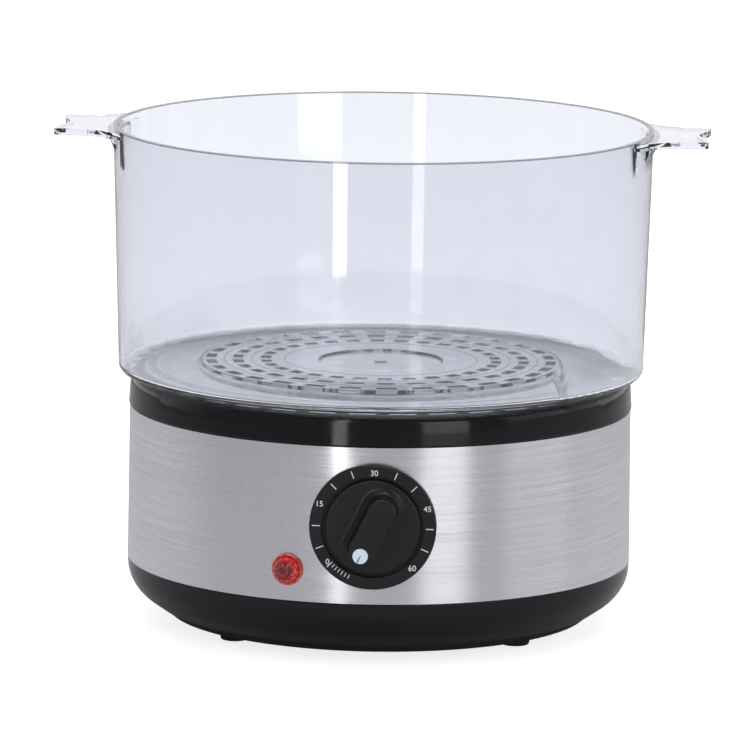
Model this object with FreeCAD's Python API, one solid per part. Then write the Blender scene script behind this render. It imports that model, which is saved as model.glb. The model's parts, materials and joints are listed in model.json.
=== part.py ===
"""Electric food steamer: a clear steaming bowl on a steel-banded base with a mechanical timer.

Millimetres, +Z up, the table at z = 0, the body's axis at x = y = 0, the dial facing -Y.
"""
import os
from math import atan2, cos, hypot, pi, radians, sin, sqrt, tan

import FreeCAD, Part
from FreeCAD import Vector

# Fits and clearances
SNUG = 0.25            # between curved faces of pieces that are fastened together
RUN = 0.05             # radial running clearance of the timer shaft
LIFT = 0.4             # between pieces that lift apart
KNOB_GAP = 0.5         # knob's back to the bezel's floor
TIMER_GAP = 2.5        # bell screw to the reservoir's wall
PAST = 10.0            # how far a cut runs past what it opens

# Base housing
BODY_R = 112.5         # outside of the steel band at its lower edge
BAND_DRAFT = 0.6       # the band's radius is this much smaller at its top
BAND_LOW = 30.0        # the band's lower edge over the table
BAND_HEIGHT = 68.6
BAND_WALL = 0.8
BAND_SEAM = 0.5        # open butt seam at the rear
REVEAL = 0.45          # small bevel that leaves a dark line at each edge of the band
PAN_LOW_R = 98.6       # where the pan's sloping underside meets the bottom cover
PAN_BULGE = 18.0       # height at which the side turns into that slope
PAN_LEAN = 0.5         # the side leans in this much down to there
PAN_ROUND = 18.0
PAN_WALL = 2.4
PAN_LEDGE = 20.1       # width of the pan's bottom ledge, inwards from PAN_LOW_R
SPIGOT_HEIGHT = 6.0    # both spigots that centre the band
SPIGOT_WALL = 2.0

# Bottom cover and feet
FOOT_HEIGHT = 5.0
FOOT_R = 7.0
FOOT_X = 62.0
FOOT_Y = 48.0
FOOT_PEG_R = 2.9
FOOT_HEAD_R = 4.2
FOOT_HEAD = 1.8
COVER_PLATE = 2.2
COVER_RIM = 1.5        # height of the cover's rim over its plate
COVER_RIM_WALL = 4.5
COVER_LEAN = 5.0       # the cover's edge slopes in this much from the pan to its flat
COVER_ROUND = 1.2
VENT_WIDTH = 3.0
VENT_LENGTH = 26.0
VENT_PITCH = 7.0
VENT_COUNT = 7

# Housing screws
SCREW_INSET = 14.6     # screw circle inwards from the cover's edge
SCREW_ANGLES = (60.0, 120.0, 240.0, 300.0)
SCREW_R = 1.5
SCREW_HEAD_R = 3.1
SCREW_HEAD = 1.4
SCREW_LENGTH = 18.0
PILLAR_R = 4.5

# Reservoir tub
COLLAR_HEIGHT = 14.4   # black collar over the band's upper edge
COLLAR_LEAN = 0.9      # the collar leans in this much to its top
COLLAR_ROUND = 4.6
TUB_WALL = 2.4
LEDGE_DEPTH = 3.0      # the tray's ledge under the collar's top
RIM_INSET = 6.1        # the tray's rim inwards from the band's radius
MOUTH_INSET = 3.8      # the tub's mouth inwards from the ledge's outer edge
FUNNEL_FALL = 9.0
HEATER_ROOM = 28.8     # reservoir floor over the bottom cover's plate
FLOOR_WALL = 2.5
TANK_ROUND = 3.0

# Drip tray
TRAY_PROUD = 1.0       # the tray's rim over the collar's top
TRAY_DEPTH = 16.0      # rim to underside
TRAY_WALL = 2.0
TRAY_FLOOR_GAP = 1.0   # tray's underside to the funnel's edge
CHIMNEY_R = 37.0
CHIMNEY_WALL = 2.0
CHIMNEY_HEIGHT = 8.0   # over the tray's floor
ROOF_GAP = 4.6         # chimney to its roof
ROOF_OVERHANG = 2.5
ROOF_WALL = 1.4
ROOF_RIB = 2.0
ROOF_RIBS = 3

# Steam ring on the reservoir's floor
RING_R = 41.0
RING_WALL = 2.0
RING_HEIGHT = 44.0
RING_LIP = 3.0
RING_GATES = 4
RING_GATE_WIDTH = 16.0
RING_GATE_HEIGHT = 9.0

# Steaming bowl
BOWL_OVERHANG = 4.5    # bowl's base outwards from the band's radius
BOWL_FLARE = 3.0       # rim outwards from the base
BOWL_HEIGHT = 109.6
BOWL_WALL = 2.0
BOWL_FLOOR = 2.2
BOWL_ROUND = 3.0
BOWL_TURN = -2.7       # degrees; the bowl stands a little turned on the base
STEP_R = 80.6          # raised, perforated middle of the floor
STEP_RISE = 2.3
STEP_SLOPE = 1.5
DISH_R = 28.0
DISH_DROP = 1.0
GATE_R = 3.0           # moulding gate mark at the centre
GATE_RISE = 0.8
SLOT_ROWS = (76.0, 64.0, 51.5)
SLOT_WIDTH = 4.6       # radial
SLOT_SWEEP = 7.0       # degrees
SLOTS_PER_ROW = 30
NEST_WALL = 1.6        # rib under the floor that nests in the tray
NEST_DEPTH = 5.0
NUB_COUNT = 40
NUB_INSET = 7.2        # nub circle inwards from the base's radius
NUB_WIDTH = 4.0
NUB_SWEEP = 6.0        # degrees
NUB_GAP = 0.3          # nubs to the collar's top

# Bowl handles
HANDLE_REACH = 25.0    # beyond the rim
HANDLE_HALF = 23.5     # half the width over the prongs
HANDLE_FLARE = 25.0    # extra half width at the root
HANDLE_STRAIGHT = 17.0
HANDLE_ROUND = 22.0
HANDLE_DROP = 1.1      # handle's top under the rim
HANDLE_PLATE = 2.0
HANDLE_EDGE = 2.9      # height of the turned-down edge
HANDLE_EDGE_WALL = 1.8
HANDLE_SUNK = 16.8     # the outline starts this far inside the rim
NOTCH_DEPTH = 5.5
NOTCH_ROUND = 14.0
PRONG_WIDTH = 8.5
PRONG_LEAN = 1.2
PRONG_ROUND = 2.2
PRONG_INNER_ROUND = 3.0
GUSSET_OUT = 2.6
GUSSET_FALL = 6.5
GUSSET_SWEEP = 24.0    # degrees

# Dial, on the band's middle height
BEZEL_PROUD = 2.2
BEZEL_LIP = 3.5        # plate beyond the barrel that passes through the band
BEZEL_WALL = 1.7
BEZEL_RECESS = 2.8
BEZEL_FLOOR = 1.8
BEZEL_ROUND = 0.7
BEZEL_BOSS = 9.3       # screw bosses behind the floor
BEZEL_BOSS_R = 3.6
HOOK_WIDTH = 10.0
HOOK_DEPTH = 1.2
HOOK_LENGTH = 1.6
KNOB_R = 20.7
KNOB_RIM_GAP = 1.6
KNOB_DISC = 3.2
KNOB_HEIGHT = 16.0
GRIP_WIDTH = 12.0
GRIP_LENGTH = 31.0
GRIP_FLARE = 4.4       # concave sweep from grip to disc
GRIP_ROUND = 0.9
KNOB_HUB_R = 5.0
KNOB_HUB = 4.0
MARKER_R = 3.3
MARKER_OFFSET = 11.2
MARKER_DEPTH = 1.0
MARKER_PROUD = 0.2
POINTER_REST = 154.0   # degrees anticlockwise from straight up, seen from the front
SPRING_WALL = 0.7
SHAFT_R = 3.0
SHAFT_FLAT = 2.3       # flat's distance from the shaft's axis
SHAFT_IN_CASE = 9.0
SHAFT_IN_KNOB = 11.0

# Timer
TIMER_PLATE = 1.2
TIMER_PLATE_WIDTH = 54.0
TIMER_PLATE_HEIGHT = 50.0
TIMER_CASE_WIDTH = 46.0
TIMER_CASE_HEIGHT = 44.0
TIMER_DEPTH = 18.0
TIMER_ROUND = 4.0
TIMER_SCREW_X = 14.0
TIMER_SCREW_R = 1.4
TIMER_SCREW_HEAD_R = 2.7
TIMER_SCREW_HEAD = 1.2
TIMER_SCREW_TIP = 2.6  # beyond the plate
BELL_R = 17.0
BELL_WALL = 0.8
BELL_ROUND = 6.0
BELL_POST = 8.0
BELL_POST_R = 3.0
BELL_RIM_GAP = 1.6
BELL_SCREW_R = 1.2
BELL_SCREW_HEAD_R = 2.6
BELL_SCREW_HEAD = 1.5
TAB_WIDTH = 6.3
TAB_THICK = 0.8
TAB_LENGTH = 8.0

# Heater under the reservoir's floor
BUTTON_R = 29.4
BUTTON_RISE = 1.0      # over the reservoir's floor
HEATER_R = 38.0
HEATER_FLANGE = 2.5
GASKET = 1.5
CLAMP_LAP = 4.0        # both ways from the heater's edge
CLAMP_OUT = 8.0
CLAMP_WALL = 1.2
CLAMP_BOSS_R = 3.2
CLAMP_SCREW_R = 1.4
CLAMP_SCREW_HEAD_R = 2.6
CLAMP_SCREW_HEAD = 1.2
CLAMP_SCREWS = 3
TUBE_R = 3.3
TUBE_BEND_R = 23.5
TUBE_SWEEP = 300.0     # degrees
TUBE_TAIL = 8.0
THERMOSTAT_R = 8.0
THERMOSTAT_DEPTH = 7.0
BRIDGE_WIDTH = 9.0
BRIDGE_WALL = 1.0
BRIDGE_LAP = 2.0       # over the clamp ring
BRIDGE_FOOT = 6.0
FUSE_R = 2.4
FUSE_LENGTH = 16.0
FUSE_Y = 13.0

# Pilot lamp
LAMP_RISE = 13.8       # over the band's lower edge
LAMP_TURN = -19.1      # degrees from the dial
LENS_R = 7.0
LENS_FLANGE = 1.2
LENS_DOME = 4.6
LENS_TOP_R = 5.5
LENS_ROUND = 3.5
LENS_BARREL_R = 5.7
LENS_BARREL = 11.0
LENS_WALL = 1.1
RETAINER_R = 7.4
RETAINER_WALL = 1.0
BULB_R = 2.6
BULB_LENGTH = 12.0

# Cord gland and terminal block at the rear
GLAND_RISE = 20.5
GLAND_BORE_R = 3.6
GLAND_R = 5.6
GLAND_FLANGE_R = 7.6
GLAND_FLANGE = 2.4
GLAND_BODY = 14.0
GLAND_PAD_R = 8.6
GLAND_PAD = 1.0
GLAND_PAD_IN = 7.0     # the pad reaches this far inside the pan's wall
GLAND_NUT_R = 7.8
GLAND_NUT = 3.5
BLOCK_LENGTH = 30.0
BLOCK_WIDTH = 15.0
BLOCK_HEIGHT = 10.0
BLOCK_Y = 58.0
BLOCK_SCREW_R = 2.2
BLOCK_SCREWS = 3
BLOCK_WAY_R = 1.6
BLOCK_WAY_RISE = 2.8

# Heights and radii that follow
BAND_TOP = BAND_LOW + BAND_HEIGHT
TOP_R = BODY_R - BAND_DRAFT
COVER_LOW = FOOT_HEIGHT
COVER_TOP = COVER_LOW + COVER_PLATE
PAN_LOW = COVER_TOP + COVER_RIM
PAN_LEDGE_TOP = COVER_TOP + PAN_WALL
SCREW_CIRCLE_R = PAN_LOW_R - SCREW_INSET
COLLAR_TOP = BAND_TOP + COLLAR_HEIGHT
LEDGE = COLLAR_TOP - LEDGE_DEPTH
TRAY_TOP = COLLAR_TOP + TRAY_PROUD
TRAY_LOW = TRAY_TOP - TRAY_DEPTH
TRAY_RIM_R = BODY_R - RIM_INSET - LIFT
MOUTH_R = BODY_R - RIM_INSET - MOUTH_INSET
TRAY_R = MOUTH_R - LIFT
FUNNEL_TOP = TRAY_LOW - TRAY_FLOOR_GAP
FUNNEL_LOW = FUNNEL_TOP - FUNNEL_FALL
TANK_FLOOR = COVER_TOP + HEATER_ROOM
FLOOR_UNDER = TANK_FLOOR - FLOOR_WALL
BOWL_LOW = TRAY_TOP
BOWL_TOP = BOWL_LOW + BOWL_HEIGHT
BOWL_BASE_R = BODY_R + BOWL_OVERHANG
BOWL_R = BOWL_BASE_R + BOWL_FLARE
BOWL_FLOOR_TOP = BOWL_LOW + BOWL_FLOOR

# The dial and the lamp are measured along their own axes, outwards from the body's axis
DIAL_Z = BAND_LOW + BAND_HEIGHT / 2
DIAL_FACE = BODY_R - BAND_DRAFT / 2 + BEZEL_PROUD
DIAL_FLOOR = DIAL_FACE - BEZEL_RECESS
DIAL_FLOOR_BACK = DIAL_FLOOR - BEZEL_FLOOR
PLATE_FRONT = DIAL_FLOOR_BACK - BEZEL_BOSS
CASE_FRONT = PLATE_FRONT - TIMER_PLATE
CASE_BACK = CASE_FRONT - TIMER_DEPTH
BELL_SEAT = CASE_BACK - BELL_POST
BELL_BACK = BELL_SEAT - BELL_WALL
TANK_OUT_R = BELL_BACK - BELL_SCREW_HEAD - TIMER_GAP
TANK_R = TANK_OUT_R - TUB_WALL
RECESS_R = KNOB_R + KNOB_RIM_GAP
BARREL_R = RECESS_R + BEZEL_WALL
BEZEL_R = BARREL_R + BEZEL_LIP
LAMP_Z = BAND_LOW + LAMP_RISE
GASKET_LOW = FLOOR_UNDER - GASKET
HEATER_LOW = GASKET_LOW - HEATER_FLANGE
TUBE_Z = HEATER_LOW - TUBE_R

UP = Vector(0, 0, 1)
PIECES = {}


def keep(name, shape):
    """Remember a finished piece under its node's name."""
    PIECES[name] = shape.removeSplitter()
    return PIECES[name]


def corner(a, b, radius=0.0):
    """One corner of an outline, with the radius that rounds it."""
    return (a, b, radius)


def outline(corners, upright=True):
    """Closed wire through the corners, each rounded by its tangent arc; upright puts it in the XZ plane.

    An arc takes up to half of a side that it shares with another arc, and nearly all of one that it doesn't.
    """
    def spot(a, b):
        return Vector(a, 0, b) if upright else Vector(a, b, 0)

    edges, starts = [], []
    count = len(corners)
    for i, (a, b, radius) in enumerate(corners):
        ax, bx, last_radius = corners[i - 1]
        ay, by, next_radius = corners[(i + 1) % count]
        to_last = (ax - a, bx - b)
        to_next = (ay - a, by - b)
        last_len, next_len = hypot(*to_last), hypot(*to_next)
        u = (to_last[0] / last_len, to_last[1] / last_len)
        w = (to_next[0] / next_len, to_next[1] / next_len)
        half = atan2(abs(u[0] * w[1] - u[1] * w[0]), u[0] * w[0] + u[1] * w[1]) / 2
        if radius <= 0:
            starts.append((spot(a, b), spot(a, b)))
            continue
        run = min(radius / tan(half), last_len * (0.49 if last_radius else 0.98),
                  next_len * (0.49 if next_radius else 0.98))
        real = run * tan(half)
        m = (u[0] + w[0], u[1] + w[1])
        size = hypot(*m)
        reach = real / sin(half) - real
        first = spot(a + u[0] * run, b + u[1] * run)
        last = spot(a + w[0] * run, b + w[1] * run)
        middle = spot(a + m[0] / size * reach, b + m[1] / size * reach)
        edges.append((i, Part.Arc(first, middle, last).toShape()))
        starts.append((first, last))
    loop = []
    arcs = dict(edges)
    for i in range(count):
        if i in arcs:
            loop.append(arcs[i])
        begin, end = starts[i][1], starts[(i + 1) % count][0]
        if begin.distanceToPoint(end) > 1e-6:
            loop.append(Part.LineSegment(begin, end).toShape())
    return Part.Wire(Part.__sortEdges__(loop))


def turned(corners):
    """Solid of revolution about +Z from (radius, height) corners."""
    return Part.Face(outline(corners)).revolve(Vector(0, 0, 0), UP, 360)


def disc(radius, low, high, x=0.0, y=0.0):
    """Upright cylinder from one height to another."""
    return Part.makeCylinder(radius, high - low, Vector(x, y, low), UP)


def tube(outer, inner, low, high, x=0.0, y=0.0):
    """Upright tube from one height to another."""
    return disc(outer, low, high, x, y).cut(disc(inner, low, high, x, y))


def slab(x0, x1, y0, y1, z0, z1):
    """Box between two corners."""
    return Part.makeBox(x1 - x0, y1 - y0, z1 - z0, Vector(x0, y0, z0))


def prism(corners, low, high):
    """Flat outline in plan, raised from one height to another."""
    face = Part.Face(outline(corners, upright=False))
    face.translate(Vector(0, 0, low))
    return face.extrude(Vector(0, 0, high - low))


def rounded_block(width, height, low, high, radius):
    """Block with rounded upright corners, centred on the axis."""
    a, b = width / 2, height / 2
    return prism([corner(-a, -b, radius), corner(a, -b, radius), corner(a, b, radius), corner(-a, b, radius)],
                 low, high)


def around(shape, angle):
    """Copy turned about the body's axis."""
    copy = shape.copy()
    copy.rotate(Vector(0, 0, 0), UP, angle)
    return copy


def polar(radius, angle):
    """Plan position at a radius and an angle in degrees."""
    return radius * cos(radians(angle)), radius * sin(radians(angle))


def fused(shapes):
    """One solid from several that meet."""
    first, *rest = shapes
    return first.fuse(rest) if rest else first


def outward(shape, height, turn=0.0):
    """Stand a shape built along +Z so that +Z points away from the body's axis.

    The shape's own z becomes the distance from the axis towards -Y, its y becomes height,
    and turn swings it round the body.
    """
    copy = shape.copy()
    copy.rotate(Vector(0, 0, 0), Vector(1, 0, 0), 90)
    copy.translate(Vector(0, 0, height))
    copy.rotate(Vector(0, 0, 0), UP, turn)
    return copy


def sector_block(middle_r, width, sweep, low, high, angle):
    """Straight-sided block between two radii, as wide as sweep degrees at each of them."""
    half = radians(sweep / 2)
    inner, outer = middle_r - width / 2, middle_r + width / 2
    points = [corner(inner * cos(half), -inner * sin(half)), corner(outer * cos(half), -outer * sin(half)),
              corner(outer * cos(half), outer * sin(half)), corner(inner * cos(half), inner * sin(half))]
    return around(prism(points, low, high), angle)


def band_radius(z):
    """Outside radius of the band at a height."""
    return BODY_R - BAND_DRAFT * (z - BAND_LOW) / BAND_HEIGHT


def band_body(inwards):
    """Solid cone of the band's outside, moved inwards by a distance."""
    return Part.makeCone(BODY_R - inwards, TOP_R - inwards, BAND_HEIGHT, Vector(0, 0, BAND_LOW), UP)


def cross_recess(radius, low, high, x=0.0, y=0.0):
    """Cross-shaped driver recess."""
    arm = radius * 0.3
    return slab(x - radius, x + radius, y - arm, y + arm, low, high).fuse(
        slab(x - arm, x + arm, y - radius, y + radius, low, high))


def screw(head_r, head, shank_r, length, x=0.0, y=0.0, head_low=0.0):
    """Pan-head screw that points up, its head's underside face at head_low."""
    body = disc(head_r, head_low, head_low + head, x, y).fuse(
        disc(shank_r, head_low + head, head_low + head + length, x, y))
    return body.cut(cross_recess(head_r * 0.6, head_low - 1, head_low + head * 0.6, x, y))


def make_bottom_cover():
    """Flat cover with a low rim, vents, screw seats and foot holes."""
    plate = turned([
        corner(0, COVER_LOW), corner(PAN_LOW_R - COVER_LEAN, COVER_LOW, COVER_ROUND), corner(PAN_LOW_R - REVEAL, PAN_LOW),
        corner(PAN_LOW_R - COVER_RIM_WALL, PAN_LOW), corner(PAN_LOW_R - COVER_RIM_WALL, COVER_TOP),
        corner(0, COVER_TOP)])
    cuts = []
    for angle in SCREW_ANGLES:
        x, y = polar(SCREW_CIRCLE_R, angle)
        cuts.append(disc(SCREW_R + SNUG, COVER_LOW - 1, COVER_TOP + 1, x, y))
        cuts.append(disc(SCREW_HEAD_R + SNUG, COVER_LOW - 1, COVER_LOW + SCREW_HEAD, x, y))
    for x, y in foot_places():
        cuts.append(disc(FOOT_PEG_R + SNUG, COVER_LOW - 1, COVER_TOP + 1, x, y))
    for i in range(VENT_COUNT):
        y = (i - (VENT_COUNT - 1) / 2) * VENT_PITCH
        cuts.append(slab(-VENT_LENGTH / 2, VENT_LENGTH / 2, y - VENT_WIDTH / 2, y + VENT_WIDTH / 2,
                         COVER_LOW - 1, COVER_TOP + 1))
    keep("bottom_cover", plate.cut(cuts))


def foot_places():
    """Plan positions of the four feet."""
    return [(sx * FOOT_X, sy * FOOT_Y) for sy in (-1, 1) for sx in (-1, 1)]


def make_feet():
    """Rubber feet, each held by a mushroom peg through the cover."""
    names = ("foot_front_left", "foot_front_right", "foot_rear_left", "foot_rear_right")
    blank = turned([
        corner(0, 0), corner(FOOT_R - 0.8, 0, 1.0), corner(FOOT_R, COVER_LOW), corner(FOOT_PEG_R, COVER_LOW),
        corner(FOOT_PEG_R, COVER_TOP), corner(FOOT_HEAD_R, COVER_TOP), corner(FOOT_PEG_R, COVER_TOP + FOOT_HEAD),
        corner(0, COVER_TOP + FOOT_HEAD)])
    for name, (x, y) in zip(names, foot_places()):
        foot = blank.copy()
        foot.translate(Vector(x, y, 0))
        keep(name, foot)


def make_cover_screws():
    """Four screws through cover and pan ledge into the tub's pillars."""
    keep("cover_screws", Part.makeCompound([
        screw(SCREW_HEAD_R, SCREW_HEAD, SCREW_R, SCREW_LENGTH, *polar(SCREW_CIRCLE_R, a), COVER_LOW)
        for a in SCREW_ANGLES]))


def make_base_pan():
    """Black shell that bulges over a sloping underside, with a bottom ledge, a spigot and the cord gland's pad."""
    inner_r = BODY_R - BAND_WALL - SNUG
    wall_r = inner_r - SPIGOT_WALL
    rim_in = PAN_LOW_R - COVER_RIM_WALL - SNUG
    slope = atan2(PAN_BULGE - PAN_LOW, BODY_R - PAN_LEAN - PAN_LOW_R)
    ledge_r = PAN_LOW_R + (PAN_LEDGE_TOP - PAN_LOW - PAN_WALL / cos(slope)) / tan(slope)
    bulge_in = PAN_LEDGE_TOP + (wall_r - ledge_r) * tan(slope)
    pan = turned([
        corner(BODY_R - REVEAL, BAND_LOW), corner(BODY_R, BAND_LOW - REVEAL),
        corner(BODY_R - PAN_LEAN, PAN_BULGE, PAN_ROUND), corner(PAN_LOW_R, PAN_LOW),
        corner(rim_in, PAN_LOW), corner(rim_in, COVER_TOP), corner(PAN_LOW_R - PAN_LEDGE, COVER_TOP),
        corner(PAN_LOW_R - PAN_LEDGE, PAN_LEDGE_TOP), corner(ledge_r, PAN_LEDGE_TOP),
        corner(wall_r, bulge_in, PAN_ROUND - PAN_WALL), corner(wall_r, BAND_LOW + SPIGOT_HEIGHT),
        corner(inner_r, BAND_LOW + SPIGOT_HEIGHT), corner(inner_r, BAND_LOW)])
    nut_seat = wall_r - GLAND_PAD_IN
    pad = outward(disc(GLAND_PAD_R, nut_seat, BODY_R + GLAND_PAD), GLAND_RISE, 180)
    cuts = [outward(disc(GLAND_R + SNUG, nut_seat - PAST, BODY_R + PAST), GLAND_RISE, 180),
            outward(disc(GLAND_NUT_R + LIFT, nut_seat - PAST, nut_seat), GLAND_RISE, 180)]
    for angle in SCREW_ANGLES:
        cuts.append(disc(SCREW_R + SNUG, COVER_TOP - 1, PAN_LEDGE_TOP + 1, *polar(SCREW_CIRCLE_R, angle)))
    for x, y in foot_places():
        cuts.append(disc(FOOT_HEAD_R + 1.0, COVER_TOP - 1, PAN_LEDGE_TOP + 1, x, y))
    keep("base_pan", pan.fuse(pad).cut(cuts))


def make_body_band():
    """Thin steel band with a butt seam at the rear, a hole for the dial and one for the lamp."""
    band = band_body(0).cut(band_body(BAND_WALL))
    cuts = [outward(disc(BARREL_R + SNUG, BODY_R / 2, BODY_R + PAST), DIAL_Z),
            outward(disc(LENS_BARREL_R + SNUG, BODY_R / 2, BODY_R + PAST), LAMP_Z, LAMP_TURN),
            slab(-BAND_SEAM / 2, BAND_SEAM / 2, 0, BODY_R + PAST, BAND_LOW - 1, BAND_TOP + 1)]
    keep("body_band", band.cut(cuts))


def tub_cavity():
    """Inside of the reservoir, from its floor to the collar's mouth."""
    ledge_r = BODY_R - RIM_INSET
    return turned([
        corner(0, TANK_FLOOR), corner(TANK_R, TANK_FLOOR, TANK_ROUND), corner(TANK_R, FUNNEL_LOW),
        corner(MOUTH_R, FUNNEL_TOP), corner(MOUTH_R, LEDGE), corner(ledge_r, LEDGE),
        corner(ledge_r, COLLAR_TOP + 1), corner(0, COLLAR_TOP + 1)])


def make_reservoir_tub():
    """One black moulding: collar, tray ledge, funnel, water tank, screw pillars and heater bosses."""
    mouth_out = MOUTH_R + TUB_WALL
    spigot_r = TOP_R - BAND_WALL - SNUG
    gap_top = LEDGE - TUB_WALL
    slope_drop = TUB_WALL * hypot(1, FUNNEL_FALL / (MOUTH_R - TANK_R))
    outside = turned([
        corner(0, FLOOR_UNDER), corner(TANK_OUT_R, FLOOR_UNDER, TANK_ROUND),
        corner(TANK_OUT_R, FUNNEL_LOW - slope_drop),
        corner(mouth_out, FUNNEL_TOP - slope_drop), corner(mouth_out, gap_top),
        corner(spigot_r - SPIGOT_WALL, gap_top), corner(spigot_r - SPIGOT_WALL, BAND_TOP - SPIGOT_HEIGHT),
        corner(spigot_r, BAND_TOP - SPIGOT_HEIGHT), corner(spigot_r, BAND_TOP),
        corner(TOP_R - REVEAL, BAND_TOP), corner(TOP_R + REVEAL, BAND_TOP + REVEAL * 2),
        corner(TOP_R + REVEAL - COLLAR_LEAN, COLLAR_TOP, COLLAR_ROUND), corner(0, COLLAR_TOP)])
    pillars = [disc(PILLAR_R, PAN_LEDGE_TOP, FUNNEL_TOP, *polar(SCREW_CIRCLE_R, a)) for a in SCREW_ANGLES]
    bosses = [disc(CLAMP_BOSS_R, HEATER_LOW, FLOOR_UNDER + 1, *p) for p in clamp_places()]
    cuts = [tub_cavity(), disc(BUTTON_R + LIFT, FLOOR_UNDER - 1, TANK_FLOOR + 1)]
    depth = SCREW_LENGTH + 1.0
    for angle in SCREW_ANGLES:
        cuts.append(disc(SCREW_R + RUN, PAN_LEDGE_TOP - 1, PAN_LEDGE_TOP + depth, *polar(SCREW_CIRCLE_R, angle)))
    for x, y in clamp_places():
        cuts.append(disc(CLAMP_SCREW_R + RUN, HEATER_LOW - 1, FLOOR_UNDER, x, y))
    keep("reservoir_tub", outside.fuse(pillars + bosses).cut(cuts))


def make_drip_tray():
    """Round tray with a roofed steam chimney; its rim hangs in the collar and carries the bowl."""
    floor_top = TRAY_LOW + TRAY_WALL
    chimney_top = floor_top + CHIMNEY_HEIGHT
    roof_low = chimney_top + ROOF_GAP
    hole_r = CHIMNEY_R - CHIMNEY_WALL
    tray = turned([
        corner(hole_r, TRAY_LOW), corner(TRAY_R, TRAY_LOW, 3.0), corner(TRAY_R, LEDGE), corner(TRAY_RIM_R, LEDGE),
        corner(TRAY_RIM_R, TRAY_TOP, 0.8), corner(TRAY_R - TRAY_WALL, TRAY_TOP),
        corner(TRAY_R - TRAY_WALL, floor_top, 2.0), corner(CHIMNEY_R, floor_top), corner(CHIMNEY_R, chimney_top),
        corner(hole_r, chimney_top)])
    roof = disc(CHIMNEY_R + ROOF_OVERHANG, roof_low, roof_low + ROOF_WALL)
    ribs = [around(slab(0, hole_r + CHIMNEY_WALL / 2, -ROOF_RIB / 2, ROOF_RIB / 2, floor_top, roof_low + ROOF_WALL / 2),
                   i * 360 / ROOF_RIBS + 90) for i in range(ROOF_RIBS)]
    keep("drip_tray", tray.fuse([roof] + ribs))


def make_steam_ring():
    """Sleeve round the heater with water gates at its foot and a turned-in lip."""
    top = TANK_FLOOR + RING_HEIGHT
    ring = turned([
        corner(RING_R, TANK_FLOOR), corner(RING_R, top, 2.0), corner(RING_R - RING_LIP - RING_WALL, top),
        corner(RING_R - RING_LIP - RING_WALL, top - RING_WALL), corner(RING_R - RING_WALL, top - RING_WALL),
        corner(RING_R - RING_WALL, TANK_FLOOR)])
    gates = [around(slab(0, RING_R + 1, -RING_GATE_WIDTH / 2, RING_GATE_WIDTH / 2, TANK_FLOOR - 1,
                         TANK_FLOOR + RING_GATE_HEIGHT), (i + 0.5) * 360 / RING_GATES) for i in range(RING_GATES)]
    keep("steam_ring", ring.cut(gates))


def handle_corners(inset):
    """Half-turn-symmetric fishtail handle in plan, moved inwards by inset, on the +X side."""
    tip = BOWL_R + HANDLE_REACH - inset
    half = HANDLE_HALF - inset
    neck = tip - HANDLE_STRAIGHT + inset
    root = BOWL_R - HANDLE_SUNK
    upper = [corner(tip - NOTCH_DEPTH, 0, NOTCH_ROUND), corner(tip - PRONG_LEAN, half - PRONG_WIDTH, PRONG_INNER_ROUND),
             corner(tip, half, PRONG_ROUND), corner(neck, half + 1.0, HANDLE_ROUND), corner(root, half + HANDLE_FLARE)]
    lower = [corner(a, -b, r) for a, b, r in reversed(upper[1:])]
    return upper + lower


def make_steam_bowl():
    """Clear bowl: drafted wall, stepped slotted floor, nesting rib, nubs and two fishtail handles."""
    base_in = BOWL_BASE_R - BOWL_WALL
    step_under = BOWL_LOW + STEP_RISE
    body = turned([
        corner(0, step_under), corner(STEP_R - BOWL_FLOOR / 2, step_under),
        corner(STEP_R + STEP_SLOPE - BOWL_FLOOR / 2, BOWL_LOW),
        corner(BOWL_BASE_R, BOWL_LOW, BOWL_ROUND), corner(BOWL_R, BOWL_TOP), corner(BOWL_R - BOWL_WALL, BOWL_TOP),
        corner(base_in, BOWL_FLOOR_TOP, BOWL_ROUND / 2), corner(STEP_R + STEP_SLOPE, BOWL_FLOOR_TOP),
        corner(STEP_R, BOWL_FLOOR_TOP + STEP_RISE), corner(DISH_R, BOWL_FLOOR_TOP + STEP_RISE),
        corner(DISH_R - DISH_DROP, BOWL_FLOOR_TOP + STEP_RISE - DISH_DROP),
        corner(0, BOWL_FLOOR_TOP + STEP_RISE - DISH_DROP)])
    inside = turned([
        corner(0, BOWL_FLOOR_TOP), corner(base_in, BOWL_FLOOR_TOP), corner(BOWL_R - BOWL_WALL, BOWL_TOP),
        corner(BOWL_R - BOWL_WALL, BOWL_TOP + 5), corner(0, BOWL_TOP + 5)])
    nest_r = TRAY_R - TRAY_WALL - LIFT
    dish = BOWL_FLOOR_TOP + STEP_RISE - DISH_DROP
    adds = [tube(nest_r, nest_r - NEST_WALL, BOWL_LOW - NEST_DEPTH, BOWL_LOW), disc(GATE_R, dish - 0.5, dish + GATE_RISE)]
    nub_low = COLLAR_TOP + NUB_GAP
    adds += [sector_block(BOWL_BASE_R - NUB_INSET, NUB_WIDTH, NUB_SWEEP, nub_low, BOWL_LOW + 0.2, i * 360 / NUB_COUNT)
             for i in range(NUB_COUNT)]
    adds += make_handles(inside)
    slots = [sector_block(row, SLOT_WIDTH, SLOT_SWEEP, BOWL_LOW, BOWL_FLOOR_TOP + STEP_RISE + 1,
                          i * 360 / SLOTS_PER_ROW)
             for row in SLOT_ROWS for i in range(SLOTS_PER_ROW)]
    bowl = body.fuse(adds).cut(slots)
    keep("steam_bowl", around(bowl, BOWL_TURN))


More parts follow.
